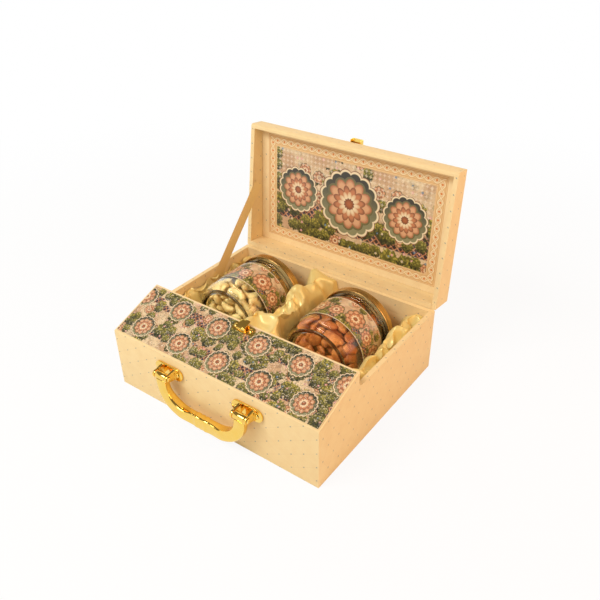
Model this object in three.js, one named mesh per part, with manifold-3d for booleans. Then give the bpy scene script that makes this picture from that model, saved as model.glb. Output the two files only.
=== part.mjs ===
// Briefcase gift box: a paper-wrapped board case with a sloped front deck, a wedge-shaped lid on a
// paper hinge, a cast handle on two brackets, a small press catch, and a satin nest for two jars.
// Millimetres, +Z up, origin under the middle of the case. The front of the case looks along -Y.
import * as THREE from 'three';
import { mergeVertices } from 'three/addons/utils/BufferGeometryUtils.js';
import Module from 'manifold-3d';

const wasm = await Module();
wasm.setup();

// Case boards
const CASE_WIDTH = 260;
const CASE_DEPTH = 217.2;
const WALL = 5;
const BASE_BOARD = 4;
const FRONT_HEIGHT = 69.5;
const RIM_HEIGHT = 74.6;
const DECK_DEPTH = 64.9;
const DECK_RISE = 23.5;
const DECK_BOARD = 4;
const RISER_BOARD = 4;
const NOTCH_RADIUS = 6;
const GLUE_LINE = 0.3;

// Lid boards, measured from the hinge line
const LID_OPEN = 97.5;
const LID_REAR_HEIGHT = 30.3;
const LID_FRONT_HEIGHT = 19.3;
const LID_TOP_BOARD = 4;
const LID_FRONT_CLEARANCE = 2;
const LID_CORNER = 2.5;
const RIM_GAP = 1.4;

// Prints, hinge paper and ribbon
const DECK_CARD = 0.6;
const DECK_CARD_MARGIN = 3.5;
const LID_CARD = 0.8;
const HINGE_PAPER = 0.3;
const HINGE_FLAP = 16;
const RIBBON_WIDTH = 15;
const RIBBON_THICKNESS = 0.5;
const RIBBON_LOW_REACH = 70;
const RIBBON_LOW_DROP = 22;
const RIBBON_LID_REACH = 78;
const RIBBON_LID_INSET = 8;

// Handle and its brackets
const HANDLE_PIVOTS = 101;
const PIVOT_HEIGHT = 53.5;
const PIVOT_OUT = 11.4;
const PIN_RADIUS = 1.7;
const PIN_CLEARANCE = 0.3;
const PIN_HEAD_RADIUS = 2.9;
const PIN_HEAD_HEIGHT = 1.4;
const PLATE_LENGTH = 37;
const PLATE_HEIGHT = 15;
const PLATE_THICKNESS = 2.2;
const PLATE_EDGE = 0.5;
const EAR_GAP = 14;
const EAR_THICKNESS = 2.4;
const EAR_ROOT = 12;
const EAR_NOSE = 4.4;
const EYE_RADIUS = 4.2;
const EYE_LENGTH = 13;
const GRIP_DROP = 38.5;
const GRIP_SQUARENESS = 0.77;
const GRIP_LEG_WIDTH = 12.4;
const GRIP_LEG_DEPTH = 8.4;
const GRIP_SHOULDER_WIDTH = 14.2;
const GRIP_SHOULDER_DEPTH = 9.6;
const GRIP_WAIST_WIDTH = 11;
const GRIP_WAIST_DEPTH = 9;
const GRIP_BEADS = 3;
const GRIP_BEAD_PITCH = 5;
const GRIP_BEAD_HEIGHT = 1;
const SCREW_HEAD_RADIUS = 2.4;
const SCREW_HEAD_HEIGHT = 1.1;
const SCREW_SHANK_RADIUS = 1.1;
const SCREW_GRIP = 3;
const SCREW_CLEARANCE = 0.3;
const PLATE_SCREW_INSET = 6.2;

// Press catch on the deck and its hood on the lid
const CATCH_PLATE_WIDTH = 26;
const CATCH_PLATE_DEPTH = 9.5;
const CATCH_PLATE_THICKNESS = 1;
const CATCH_SETBACK = 3;
const CATCH_PIN_RADIUS = 0.8;
const CATCH_PIN_RISE = 2.2;
const CATCH_BARREL = 1.8;
const CATCH_EAR_GAP = 7.2;
const CATCH_EAR_THICKNESS = 1.6;
const CATCH_SCREW_SPACING = 19;
const LEVER_WIDTH = 10.6;
const LEVER_DEPTH = 9.6;
const LEVER_THICKNESS = 1;
const LEVER_NECK = 6.4;
const TONGUE_LENGTH = 2.4;
const TONGUE_THICKNESS = 1.5;
const HOOD_WIDTH = 13.6;
const HOOD_HEIGHT = 7;
const HOOD_WALL = 1;
const HOOD_REACH = 3;
const HOOD_DEPTH = 7.5;
const HOOD_PLATE_WIDTH = 26;
const HOOD_PLATE_DEPTH = 8;
const HOOD_PLATE_THICKNESS = 1;
const HOOD_SCREW_SPACING = 20;

// Jars, lying with their bases to the front
const JAR_RADIUS = 42.4;
const JAR_HEIGHT = 83.6;
const GLASS_WALL = 2.6;
const GLASS_BASE = 5;
const BASE_RING_RADIUS = 34.5;
const HEEL_HEIGHT = 14;
const PUNT = 2.2;
const NECK_RADIUS = 40;
const NECK_HEIGHT = 17;
const SHOULDER_HEIGHT = 7;
const THREAD_BEAD = 1.2;
const LABEL_START = 24;
const LABEL_HEIGHT = 36;
const LABEL_PAPER = 0.25;
const CAP_RADIUS = 43.1;
const CAP_BEAD = 0.5;
const CAP_SKIRT = 9.5;
const CAP_METAL = 0.7;
const LINER = 0.6;
const JAR_LEFT_SPACE = 14.3;
const JAR_RIGHT_SPACE = 25.9;
const JAR_FRONT_SPACE = { left: 38, right: 35.5 };
const NUT_LENGTH = 23;
const NUT_WIDTH = 13;
const NUT_THICKNESS = 9;
const NUT_CLEARANCE = 1.8;
const NUTS_ROUND = 9;
const NUTS_ON_BASE = 5;

// Satin nest
const SATIN = 0.8;
const SATIN_EASE = 0.9;
const SATIN_SIDE_GAP = 1.2;
const SATIN_RIDGE = 62;
const SATIN_ROWS = 17;
const SATIN_FOLD = 5;
const SATIN_END_RISE = 30;
const SATIN_END_ROOM = 9;
const FOAM_TOP = 44;
const FOAM_EASE = 1.4;

const deg = THREE.MathUtils.degToRad;

const INNER_HALF = CASE_WIDTH / 2 - WALL;
const BACK_Y = CASE_DEPTH / 2;
const FRONT_Y = -BACK_Y;
const DECK_BACK_Y = FRONT_Y + DECK_DEPTH;
const DECK_TOP = FRONT_HEIGHT + DECK_RISE;
const DECK_SLOPE = Math.atan2(DECK_RISE, DECK_DEPTH);
const HINGE_HEIGHT = RIM_HEIGHT + RIM_GAP / 2;
const LID_LENGTH = BACK_Y - DECK_BACK_Y - LID_FRONT_CLEARANCE;
const LID_SLOPE = Math.atan2(LID_REAR_HEIGHT - LID_FRONT_HEIGHT, LID_LENGTH);
const PIVOT_Y = FRONT_Y - PIVOT_OUT;
const SCREW_LENGTH = PLATE_THICKNESS + SCREW_GRIP;
const CAP_TOP = JAR_HEIGHT + GLUE_LINE + LINER + GLUE_LINE + CAP_METAL;
const JAR_BED_RADIUS = CAP_RADIUS + SATIN_EASE;
const JAR_AXIS_HEIGHT = BASE_BOARD + SATIN + JAR_BED_RADIUS + 0.1;
const JAR_BASE_Y = {
  left: DECK_BACK_Y + JAR_FRONT_SPACE.left,
  right: DECK_BACK_Y + JAR_FRONT_SPACE.right,
};
const JAR_X = {
  left: -INNER_HALF + JAR_LEFT_SPACE + CAP_RADIUS,
  right: INNER_HALF - JAR_RIGHT_SPACE - CAP_RADIUS,
};

// Finishes
const finish = (color, roughness, metalness = 0) =>
  new THREE.MeshStandardMaterial({ color, roughness, metalness });
const WRAP_PAPER = finish('#f2d7a8', 0.75);
const GOLD_PLATE = finish('#d9a53a', 0.25, 1);
const CAP_GOLD = finish('#b98a3f', 0.35, 1);
const PRINT_CARD = finish('#b08a68', 0.35);
const DECK_PRINT = finish('#a8865f', 0.3);
const SATIN_CLOTH = finish('#e6c270', 0.4);
const RIBBON_CLOTH = finish('#d8ae62', 0.5);
const FOAM = finish('#efe6cf', 0.95);
const LABEL_PRINT = finish('#b48a66', 0.45);
const LINER_WHITE = finish('#ece7da', 0.8);
const CASHEW = finish('#e2bf7c', 0.7);
const ALMOND = finish('#a8602e', 0.75);
const GLASS = new THREE.MeshStandardMaterial({
  color: '#f4f6ee', roughness: 0.05, metalness: 0, transparent: true, opacity: 0.35,
});

// Drops doubled vertices and flat triangles, and turns the faces outwards.
function closed(geometry) {
  const bare = geometry.clone();
  bare.deleteAttribute('normal');
  bare.deleteAttribute('uv');
  const merged = mergeVertices(bare, 1e-3);
  const p = merged.attributes.position;
  const kept = [];
  const corner = [new THREE.Vector3(), new THREE.Vector3(), new THREE.Vector3()];
  let volume = 0;
  for (let i = 0; i < merged.index.count; i += 3) {
    const face = [0, 1, 2].map((k) => merged.index.getX(i + k));
    if (new Set(face).size < 3) continue;
    face.forEach((vertex, k) => corner[k].fromBufferAttribute(p, vertex));
    volume += corner[0].dot(corner[1].clone().cross(corner[2]));
    kept.push(face);
  }
  const turned = volume < 0 ? kept.map(([a, b, c]) => [a, c, b]) : kept;
  merged.setIndex(turned.flat());
  return merged;
}

function toSolid(geometry) {
  const mesh = closed(geometry);
  return new wasm.Manifold(new wasm.Mesh({
    numProp: 3,
    vertProperties: Float32Array.from(mesh.attributes.position.array),
    triVerts: Uint32Array.from(mesh.index.array),
  }));
}

function toGeometry(solid) {
  const mesh = solid.getMesh();
  const geometry = new THREE.BufferGeometry();
  geometry.setAttribute('position', new THREE.BufferAttribute(mesh.vertProperties, 3));
  geometry.setIndex(new THREE.BufferAttribute(mesh.triVerts, 1));
  return geometry;
}

const union = (...parts) => toGeometry(parts.map(toSolid).reduce((a, b) => a.add(b)));
const cut = (body, ...tools) =>
  toGeometry(tools.map(toSolid).reduce((a, b) => a.subtract(b), toSolid(body)));

function outline(points) {
  const shape = new THREE.Shape();
  shape.moveTo(...points[0]);
  points.slice(1).forEach((point) => shape.lineTo(...point));
  shape.closePath();
  return shape;
}

// A (y, z) outline run along X, and an (x, z) outline run along Y.
const PROFILE_X = new THREE.Matrix4().set(0, 0, 1, 0, 1, 0, 0, 0, 0, 1, 0, 0, 0, 0, 0, 1);
const PROFILE_Y = new THREE.Matrix4().set(1, 0, 0, 0, 0, 0, -1, 0, 0, 1, 0, 0, 0, 0, 0, 1);

function alongX(shape, low, high, curveSegments = 6) {
  const settings = { depth: high - low, bevelEnabled: false, curveSegments };
  return new THREE.ExtrudeGeometry(shape, settings).applyMatrix4(PROFILE_X).translate(low, 0, 0);
}

function alongY(shape, low, high, options = {}) {
  const settings = { depth: high - low, bevelEnabled: false, curveSegments: 8, ...options };
  return new THREE.ExtrudeGeometry(shape, settings).applyMatrix4(PROFILE_Y).translate(0, high, 0);
}

function block(low, high) {
  const size = high.map((value, k) => value - low[k]);
  const middle = high.map((value, k) => (value + low[k]) / 2);
  return new THREE.BoxGeometry(...size).translate(...middle);
}

// Cylinders along each axis, from one end to the other.
function rod(axis, radius, low, high, sides = 16) {
  const geometry = new THREE.CylinderGeometry(radius, radius, high - low, sides);
  if (axis === 'x') geometry.rotateZ(-Math.PI / 2);
  if (axis === 'z') geometry.rotateX(Math.PI / 2);
  const middle = (low + high) / 2;
  return geometry.translate(axis === 'x' ? middle : 0, axis === 'y' ? middle : 0, axis === 'z' ? middle : 0);
}

const revolve = (points, sides) =>
  new THREE.LatheGeometry(points.map(([r, h]) => new THREE.Vector2(r, h)), sides);

function add(group, name, geometry, material) {
  const mesh = new THREE.Mesh(closed(geometry), material);
  mesh.name = name;
  group.add(mesh);
  return mesh;
}

// Height of the deck's top face, and of the lid's top face in its own closed frame.
const deckHeight = (y) => FRONT_HEIGHT + (y - FRONT_Y) * Math.tan(DECK_SLOPE);
const lidHeight = (y) => LID_REAR_HEIGHT + y * Math.tan(LID_SLOPE);
const deckDrop = (DECK_BOARD + GLUE_LINE) / Math.cos(DECK_SLOPE);
const lidDrop = (LID_TOP_BOARD + GLUE_LINE) / Math.cos(LID_SLOPE);

const giftBox = new THREE.Group();
giftBox.name = 'briefcase_gift_box';

// Wood screw along +Z with its head's underside at z = 0 and a hole to match.
function screw() {
  const dome = [0, 1, 2, 3].map((step) => {
    const angle = (step / 3) * (Math.PI / 2);
    return [SCREW_HEAD_RADIUS * Math.cos(angle), SCREW_HEAD_HEIGHT * Math.sin(angle)];
  });
  const profile = [[0, -SCREW_LENGTH], [SCREW_SHANK_RADIUS, -SCREW_LENGTH], [SCREW_SHANK_RADIUS, 0], ...dome];
  profile[profile.length - 1] = [0, SCREW_HEAD_HEIGHT];
  return revolve(profile, 12).rotateX(Math.PI / 2);
}
const screwHole = (depth) =>
  rod('z', SCREW_SHANK_RADIUS + SCREW_CLEARANCE, -depth, SCREW_HEAD_HEIGHT, 12);

// Where the bracket screws sit on the front, pointing out along -Y.
const bracketScrews = [-1, 1].flatMap((side) => [-1, 1].map((end) =>
  side * HANDLE_PIVOTS / 2 + end * (PLATE_LENGTH / 2 - PLATE_SCREW_INSET)));
const outOfFront = (geometry, x) =>
  geometry.clone().rotateX(Math.PI / 2).translate(x, FRONT_Y - PLATE_THICKNESS - GLUE_LINE, PIVOT_HEIGHT);

// Case: base, front, back, two profiled sides, sloped deck and the riser behind it.
function buildCase() {
  add(giftBox, 'case_base', block(
    [-INNER_HALF, FRONT_Y + WALL, 0], [INNER_HALF, BACK_Y - WALL, BASE_BOARD]), WRAP_PAPER);
  const frontProfile = outline([
    [FRONT_Y, 0], [FRONT_Y + WALL, 0],
    [FRONT_Y + WALL, deckHeight(FRONT_Y + WALL) - deckDrop], [FRONT_Y, FRONT_HEIGHT - deckDrop],
  ]);
  const frontHoles = bracketScrews.map((x) => outOfFront(screwHole(SCREW_LENGTH + GLUE_LINE), x));
  add(giftBox, 'case_front', cut(alongX(frontProfile, -INNER_HALF, INNER_HALF), ...frontHoles), WRAP_PAPER);
  add(giftBox, 'case_back', block(
    [-INNER_HALF, BACK_Y - WALL, 0], [INNER_HALF, BACK_Y, RIM_HEIGHT]), WRAP_PAPER);

  const side = new THREE.Shape();
  side.moveTo(FRONT_Y, 0);
  side.lineTo(BACK_Y, 0);
  side.lineTo(BACK_Y, RIM_HEIGHT);
  const notch = [DECK_BACK_Y + NOTCH_RADIUS, RIM_HEIGHT + NOTCH_RADIUS];
  side.absarc(...notch, NOTCH_RADIUS, -Math.PI / 2, -Math.PI, true);
  side.lineTo(DECK_BACK_Y, DECK_TOP);
  side.lineTo(FRONT_Y, FRONT_HEIGHT);
  add(giftBox, 'case_left', alongX(side, -CASE_WIDTH / 2, -INNER_HALF), WRAP_PAPER);
  add(giftBox, 'case_right', alongX(side, INNER_HALF, CASE_WIDTH / 2), WRAP_PAPER);

  const under = DECK_BOARD / Math.cos(DECK_SLOPE);
  const deckProfile = outline([
    [FRONT_Y, FRONT_HEIGHT - under], [DECK_BACK_Y, DECK_TOP - under],
    [DECK_BACK_Y, DECK_TOP], [FRONT_Y, FRONT_HEIGHT],
  ]);
  const deckHoles = catchScrews.map((x) => onDeck(screwHole(SCREW_LENGTH + GLUE_LINE), x));
  add(giftBox, 'deck_board', cut(
    alongX(deckProfile, -INNER_HALF + GLUE_LINE, INNER_HALF - GLUE_LINE), ...deckHoles), WRAP_PAPER);
  const riserProfile = outline([
    [DECK_BACK_Y - RISER_BOARD, BASE_BOARD], [DECK_BACK_Y, BASE_BOARD],
    [DECK_BACK_Y, DECK_TOP - deckDrop],
    [DECK_BACK_Y - RISER_BOARD, deckHeight(DECK_BACK_Y - RISER_BOARD) - deckDrop],
  ]);
  add(giftBox, 'deck_riser', alongX(riserProfile, -INNER_HALF, INNER_HALF), WRAP_PAPER);

  const rise = GLUE_LINE / Math.cos(DECK_SLOPE);
  const top = (GLUE_LINE + DECK_CARD) / Math.cos(DECK_SLOPE);
  const margin = DECK_CARD_MARGIN * Math.cos(DECK_SLOPE);
  const [cardFront, cardBack] = [FRONT_Y + margin, DECK_BACK_Y - margin];
  const cardProfile = outline([
    [cardFront, deckHeight(cardFront) + rise], [cardBack, deckHeight(cardBack) + rise],
    [cardBack, deckHeight(cardBack) + top], [cardFront, deckHeight(cardFront) + top],
  ]);
  const cardHalf = CASE_WIDTH / 2 - DECK_CARD_MARGIN;
  const cardHoles = catchScrews.map((x) => onDeck(screwHole(SCREW_LENGTH + GLUE_LINE), x));
  add(giftBox, 'deck_print_card', cut(alongX(cardProfile, -cardHalf, cardHalf), ...cardHoles), DECK_PRINT);

  const paperSection = outline([
    [BACK_Y, RIM_HEIGHT], [BACK_Y, RIM_HEIGHT + HINGE_PAPER],
    [BACK_Y - WALL - HINGE_PAPER, RIM_HEIGHT + HINGE_PAPER],
    [BACK_Y - WALL - HINGE_PAPER, RIM_HEIGHT - HINGE_FLAP],
    [BACK_Y - WALL, RIM_HEIGHT - HINGE_FLAP], [BACK_Y - WALL, RIM_HEIGHT],
  ]);
  add(giftBox, 'hinge_paper_case', alongX(paperSection, -INNER_HALF, INNER_HALF), WRAP_PAPER);
}

// Lid: built closed, with the hinge line as its origin, and turned open on that line.
const lid = new THREE.Group();
lid.name = 'lid';
lid.position.set(0, BACK_Y, HINGE_HEIGHT);
lid.rotation.x = -deg(LID_OPEN);
giftBox.add(lid);

function buildLid() {
  const rim = RIM_GAP / 2;
  const side = new THREE.Shape();
  side.moveTo(0, rim);
  side.lineTo(0, LID_REAR_HEIGHT);
  side.lineTo(-LID_LENGTH, LID_FRONT_HEIGHT);
  side.lineTo(-LID_LENGTH, rim + LID_CORNER);
  side.absarc(-LID_LENGTH + LID_CORNER, rim + LID_CORNER, LID_CORNER, Math.PI, Math.PI * 1.5, false);
  add(lid, 'lid_left', alongX(side, -CASE_WIDTH / 2, -INNER_HALF), WRAP_PAPER);
  add(lid, 'lid_right', alongX(side, INNER_HALF, CASE_WIDTH / 2), WRAP_PAPER);

  const half = INNER_HALF - GLUE_LINE;
  const back = outline([
    [-WALL, rim], [0, rim], [0, LID_REAR_HEIGHT - lidDrop], [-WALL, lidHeight(-WALL) - lidDrop]]);
  add(lid, 'lid_back', alongX(back, -half, half), WRAP_PAPER);
  const frontIn = -LID_LENGTH + WALL;
  const front = outline([
    [-LID_LENGTH, rim], [frontIn, rim],
    [frontIn, lidHeight(frontIn) - lidDrop], [-LID_LENGTH, LID_FRONT_HEIGHT - lidDrop]]);
  add(lid, 'lid_front', alongX(front, -half, half), WRAP_PAPER);

  const under = LID_TOP_BOARD / Math.cos(LID_SLOPE);
  const top = outline([
    [-LID_LENGTH, LID_FRONT_HEIGHT - under], [0, LID_REAR_HEIGHT - under],
    [0, LID_REAR_HEIGHT], [-LID_LENGTH, LID_FRONT_HEIGHT]]);
  const topHoles = hoodScrews.map((x) => onLid(screwHole(SCREW_LENGTH + GLUE_LINE), x));
  add(lid, 'lid_top', cut(alongX(top, -half, half), ...topHoles), WRAP_PAPER);

  const cardUnder = lidDrop + LID_CARD / Math.cos(LID_SLOPE);
  const [cardFront, cardBack] = [frontIn + GLUE_LINE, -WALL - GLUE_LINE];
  const card = outline([
    [cardFront, lidHeight(cardFront) - cardUnder], [cardBack, lidHeight(cardBack) - cardUnder],
    [cardBack, lidHeight(cardBack) - lidDrop], [cardFront, lidHeight(cardFront) - lidDrop]]);
  add(lid, 'lid_picture_card', alongX(card, -half, half), PRINT_CARD);

  const inner = -WALL - GLUE_LINE;
  const paperRim = rim - GLUE_LINE;
  const paperSection = outline([
    [0, paperRim - HINGE_PAPER], [0, paperRim], [inner, paperRim],
    [inner, HINGE_FLAP], [inner - HINGE_PAPER, HINGE_FLAP], [inner - HINGE_PAPER, paperRim - HINGE_PAPER],
  ]);
  add(lid, 'hinge_paper_lid', alongX(paperSection, -half, half), WRAP_PAPER);
}

// Ribbon stay: a taut flat strip inside the left walls, from the case to the open lid.
function buildRibbon() {
  const low = new THREE.Vector2(BACK_Y - RIBBON_LOW_REACH, RIM_HEIGHT - RIBBON_LOW_DROP);
  const lidY = -RIBBON_LID_REACH;
  const lidZ = lidHeight(lidY) - lidDrop - LID_CARD - RIBBON_LID_INSET;
  const turned = new THREE.Vector3(0, lidY, lidZ).applyEuler(lid.rotation);
  const high = new THREE.Vector2(BACK_Y + turned.y, HINGE_HEIGHT + turned.z);
  const run = high.clone().sub(low).normalize();
  const across = new THREE.Vector2(-run.y, run.x).multiplyScalar(RIBBON_WIDTH / 2);
  const corners = [[low, -1], [high, -1], [high, 1], [low, 1]].map(([point, sign]) =>
    point.clone().addScaledVector(across, sign).toArray());
  const inside = -INNER_HALF + GLUE_LINE;
  add(giftBox, 'ribbon_stay', alongX(outline(corners), inside, inside + RIBBON_THICKNESS), RIBBON_CLOTH);
}

// Handle bracket: an obround plate with two nosed ears that hold the pin.
function buildBracket(name, x) {
  const end = PLATE_HEIGHT / 2;
  const plateShape = new THREE.Shape();
  plateShape.absarc(PLATE_LENGTH / 2 - end, 0, end - PLATE_EDGE, -Math.PI / 2, Math.PI / 2, false);
  plateShape.absarc(-PLATE_LENGTH / 2 + end, 0, end - PLATE_EDGE, Math.PI / 2, Math.PI * 1.5, false);
  const plate = alongY(plateShape, PLATE_EDGE, PLATE_THICKNESS - PLATE_EDGE, {
    bevelEnabled: true, bevelThickness: PLATE_EDGE, bevelSize: PLATE_EDGE, bevelSegments: 2, curveSegments: 7,
  }).translate(0, -PLATE_THICKNESS, 0);

  const nose = GLUE_LINE - PIVOT_OUT;
  const ear = new THREE.Shape();
  ear.moveTo(-PLATE_THICKNESS / 2, -EAR_ROOT / 2);
  ear.lineTo(-PLATE_THICKNESS / 2, EAR_ROOT / 2);
  ear.absarc(nose, 0, EAR_NOSE, Math.PI * 0.42, Math.PI * 1.58, false);
  const ears = [-1, 1].map((side) => {
    const middle = side * (EAR_GAP + EAR_THICKNESS) / 2;
    return alongX(ear, middle - EAR_THICKNESS / 2, middle + EAR_THICKNESS / 2, 6);
  });
  const pinHole = rod('x', PIN_RADIUS + PIN_CLEARANCE, -PLATE_LENGTH, PLATE_LENGTH).translate(0, nose, 0);
  const screwHoles = [-1, 1].map((side) =>
    screwHole(PLATE_THICKNESS * 2).rotateX(Math.PI / 2)
      .translate(side * (PLATE_LENGTH / 2 - PLATE_SCREW_INSET), -PLATE_THICKNESS, 0));
  const bracket = cut(union(plate, ...ears), pinHole, ...screwHoles);
  add(giftBox, name, bracket.translate(x, FRONT_Y - GLUE_LINE, PIVOT_HEIGHT), GOLD_PLATE);
}

function buildPin(name, x) {
  const reach = EAR_GAP / 2 + EAR_THICKNESS + PIN_CLEARANCE;
  const head = [[PIN_HEAD_RADIUS, reach], [PIN_HEAD_RADIUS * 0.75, reach + PIN_HEAD_HEIGHT * 0.7]];
  const profile = [
    [0, -reach - PIN_HEAD_HEIGHT], ...head.map(([r, h]) => [r, -h]).reverse(), [PIN_RADIUS, -reach],
    [PIN_RADIUS, reach], ...head, [0, reach + PIN_HEAD_HEIGHT],
  ];
  const pin = revolve(profile, 14).rotateZ(-Math.PI / 2);
  add(giftBox, name, pin.translate(x, PIVOT_Y, PIVOT_HEIGHT), GOLD_PLATE);
}

// Cast grip: an oval section swept along a squared arch, with ring beads at the middle and an eye at each end.
function buildGrip() {
  const stations = 48;
  const around = 14;
  const half = HANDLE_PIVOTS / 2;
  const drop = GRIP_DROP - EYE_RADIUS;
  const power = (value) => Math.sign(value) * Math.abs(value) ** GRIP_SQUARENESS;
  const spine = (t) => new THREE.Vector3(
    -half * power(Math.cos(t)), 0, -EYE_RADIUS / 2 - drop * power(Math.sin(t)));
  const smooth = THREE.MathUtils.smoothstep;
  const rings = [];
  for (let i = 0; i <= stations; i += 1) {
    const t = (i / stations) * Math.PI;
    const here = spine(t);
    const ahead = spine(Math.min(t + 0.01, Math.PI));
    const behind = spine(Math.max(t - 0.01, 0));
    const run = ahead.sub(behind).normalize();
    const normal = new THREE.Vector3(-run.z, 0, run.x);
    const fromEnd = Math.min(t, Math.PI - t);
    const shoulder = smooth(fromEnd, 0.15, 0.75);
    const waist = smooth(fromEnd, 0.95, 1.4);
    const mix = THREE.MathUtils.lerp;
    const bead = Math.abs(here.x) < GRIP_BEADS * GRIP_BEAD_PITCH / 2
      ? GRIP_BEAD_HEIGHT * Math.abs(Math.cos((here.x / GRIP_BEAD_PITCH) * Math.PI)) : 0;
    const wide = mix(mix(GRIP_LEG_WIDTH, GRIP_SHOULDER_WIDTH, shoulder), GRIP_WAIST_WIDTH, waist) / 2 + bead;
    const deep = mix(mix(GRIP_LEG_DEPTH, GRIP_SHOULDER_DEPTH, shoulder), GRIP_WAIST_DEPTH, waist) / 2 + bead;
    rings.push({ here, normal, wide, deep });
  }
  const position = [];
  rings.forEach(({ here, normal, wide, deep }) => {
    for (let k = 0; k < around; k += 1) {
      const angle = (k / around) * Math.PI * 2;
      const point = here.clone().addScaledVector(normal, wide * Math.cos(angle));
      position.push(point.x, deep * Math.sin(angle), point.z);
    }
  });
  const faces = [];
  for (let i = 0; i < stations; i += 1) {
    for (let k = 0; k < around; k += 1) {
      const next = (k + 1) % around;
      const [a, b] = [i * around + k, i * around + next];
      faces.push(a, b, a + around, b, b + around, a + around);
    }
  }
  [0, stations].forEach((i) => {
    for (let k = 1; k < around - 1; k += 1) {
      const cap = [i * around, i * around + k, i * around + k + 1];
      faces.push(...(i === 0 ? [cap[0], cap[2], cap[1]] : cap));
    }
  });
  const sweep = new THREE.BufferGeometry();
  sweep.setAttribute('position', new THREE.Float32BufferAttribute(position, 3));
  sweep.setIndex(faces);
  const eyes = [-half, half].map((x) => rod('x', EYE_RADIUS, x - EYE_LENGTH / 2, x + EYE_LENGTH / 2, 20));
  const bores = [-half, half].map((x) =>
    rod('x', PIN_RADIUS + PIN_CLEARANCE, x - EYE_LENGTH, x + EYE_LENGTH));
  const grip = cut(union(sweep, ...eyes), ...bores);
  add(giftBox, 'handle_grip', grip.translate(0, PIVOT_Y, PIVOT_HEIGHT), GOLD_PLATE);
}

// Frames of the catch on the deck's back edge and of the hood on the lid's front edge.
const cardTop = GLUE_LINE + DECK_CARD;
const catchPlateTop = cardTop + GLUE_LINE + CATCH_PLATE_THICKNESS;
const catchY = -CATCH_SETBACK - CATCH_PLATE_DEPTH / 2;
const catchScrews = [-CATCH_SCREW_SPACING / 2, CATCH_SCREW_SPACING / 2];
const hoodScrews = [-HOOD_SCREW_SPACING / 2, HOOD_SCREW_SPACING / 2];
const hoodPlateTop = GLUE_LINE + HOOD_PLATE_THICKNESS;
const hoodScrewY = HOOD_PLATE_DEPTH / 2 + GLUE_LINE;
const onDeck = (geometry, x) => geometry.clone().translate(x, catchY, catchPlateTop)
  .rotateX(DECK_SLOPE).translate(0, DECK_BACK_Y, DECK_TOP);
const onLid = (geometry, x) => geometry.clone().translate(x, hoodScrewY, hoodPlateTop)
  .rotateX(LID_SLOPE).translate(0, -LID_LENGTH, LID_FRONT_HEIGHT);

function roundedPlate(width, depth, low, high, corner) {
  const shape = new THREE.Shape();
  const [hw, hd] = [width / 2 - corner, depth / 2 - corner];
  shape.absarc(hw, hd, corner, 0, Math.PI / 2, false);
  shape.absarc(-hw, hd, corner, Math.PI / 2, Math.PI, false);
  shape.absarc(-hw, -hd, corner, Math.PI, Math.PI * 1.5, false);
  shape.absarc(hw, -hd, corner, Math.PI * 1.5, Math.PI * 2, false);
  return new THREE.ExtrudeGeometry(shape, { depth: high - low, bevelEnabled: false, curveSegments: 4 })
    .translate(0, 0, low);
}

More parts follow.
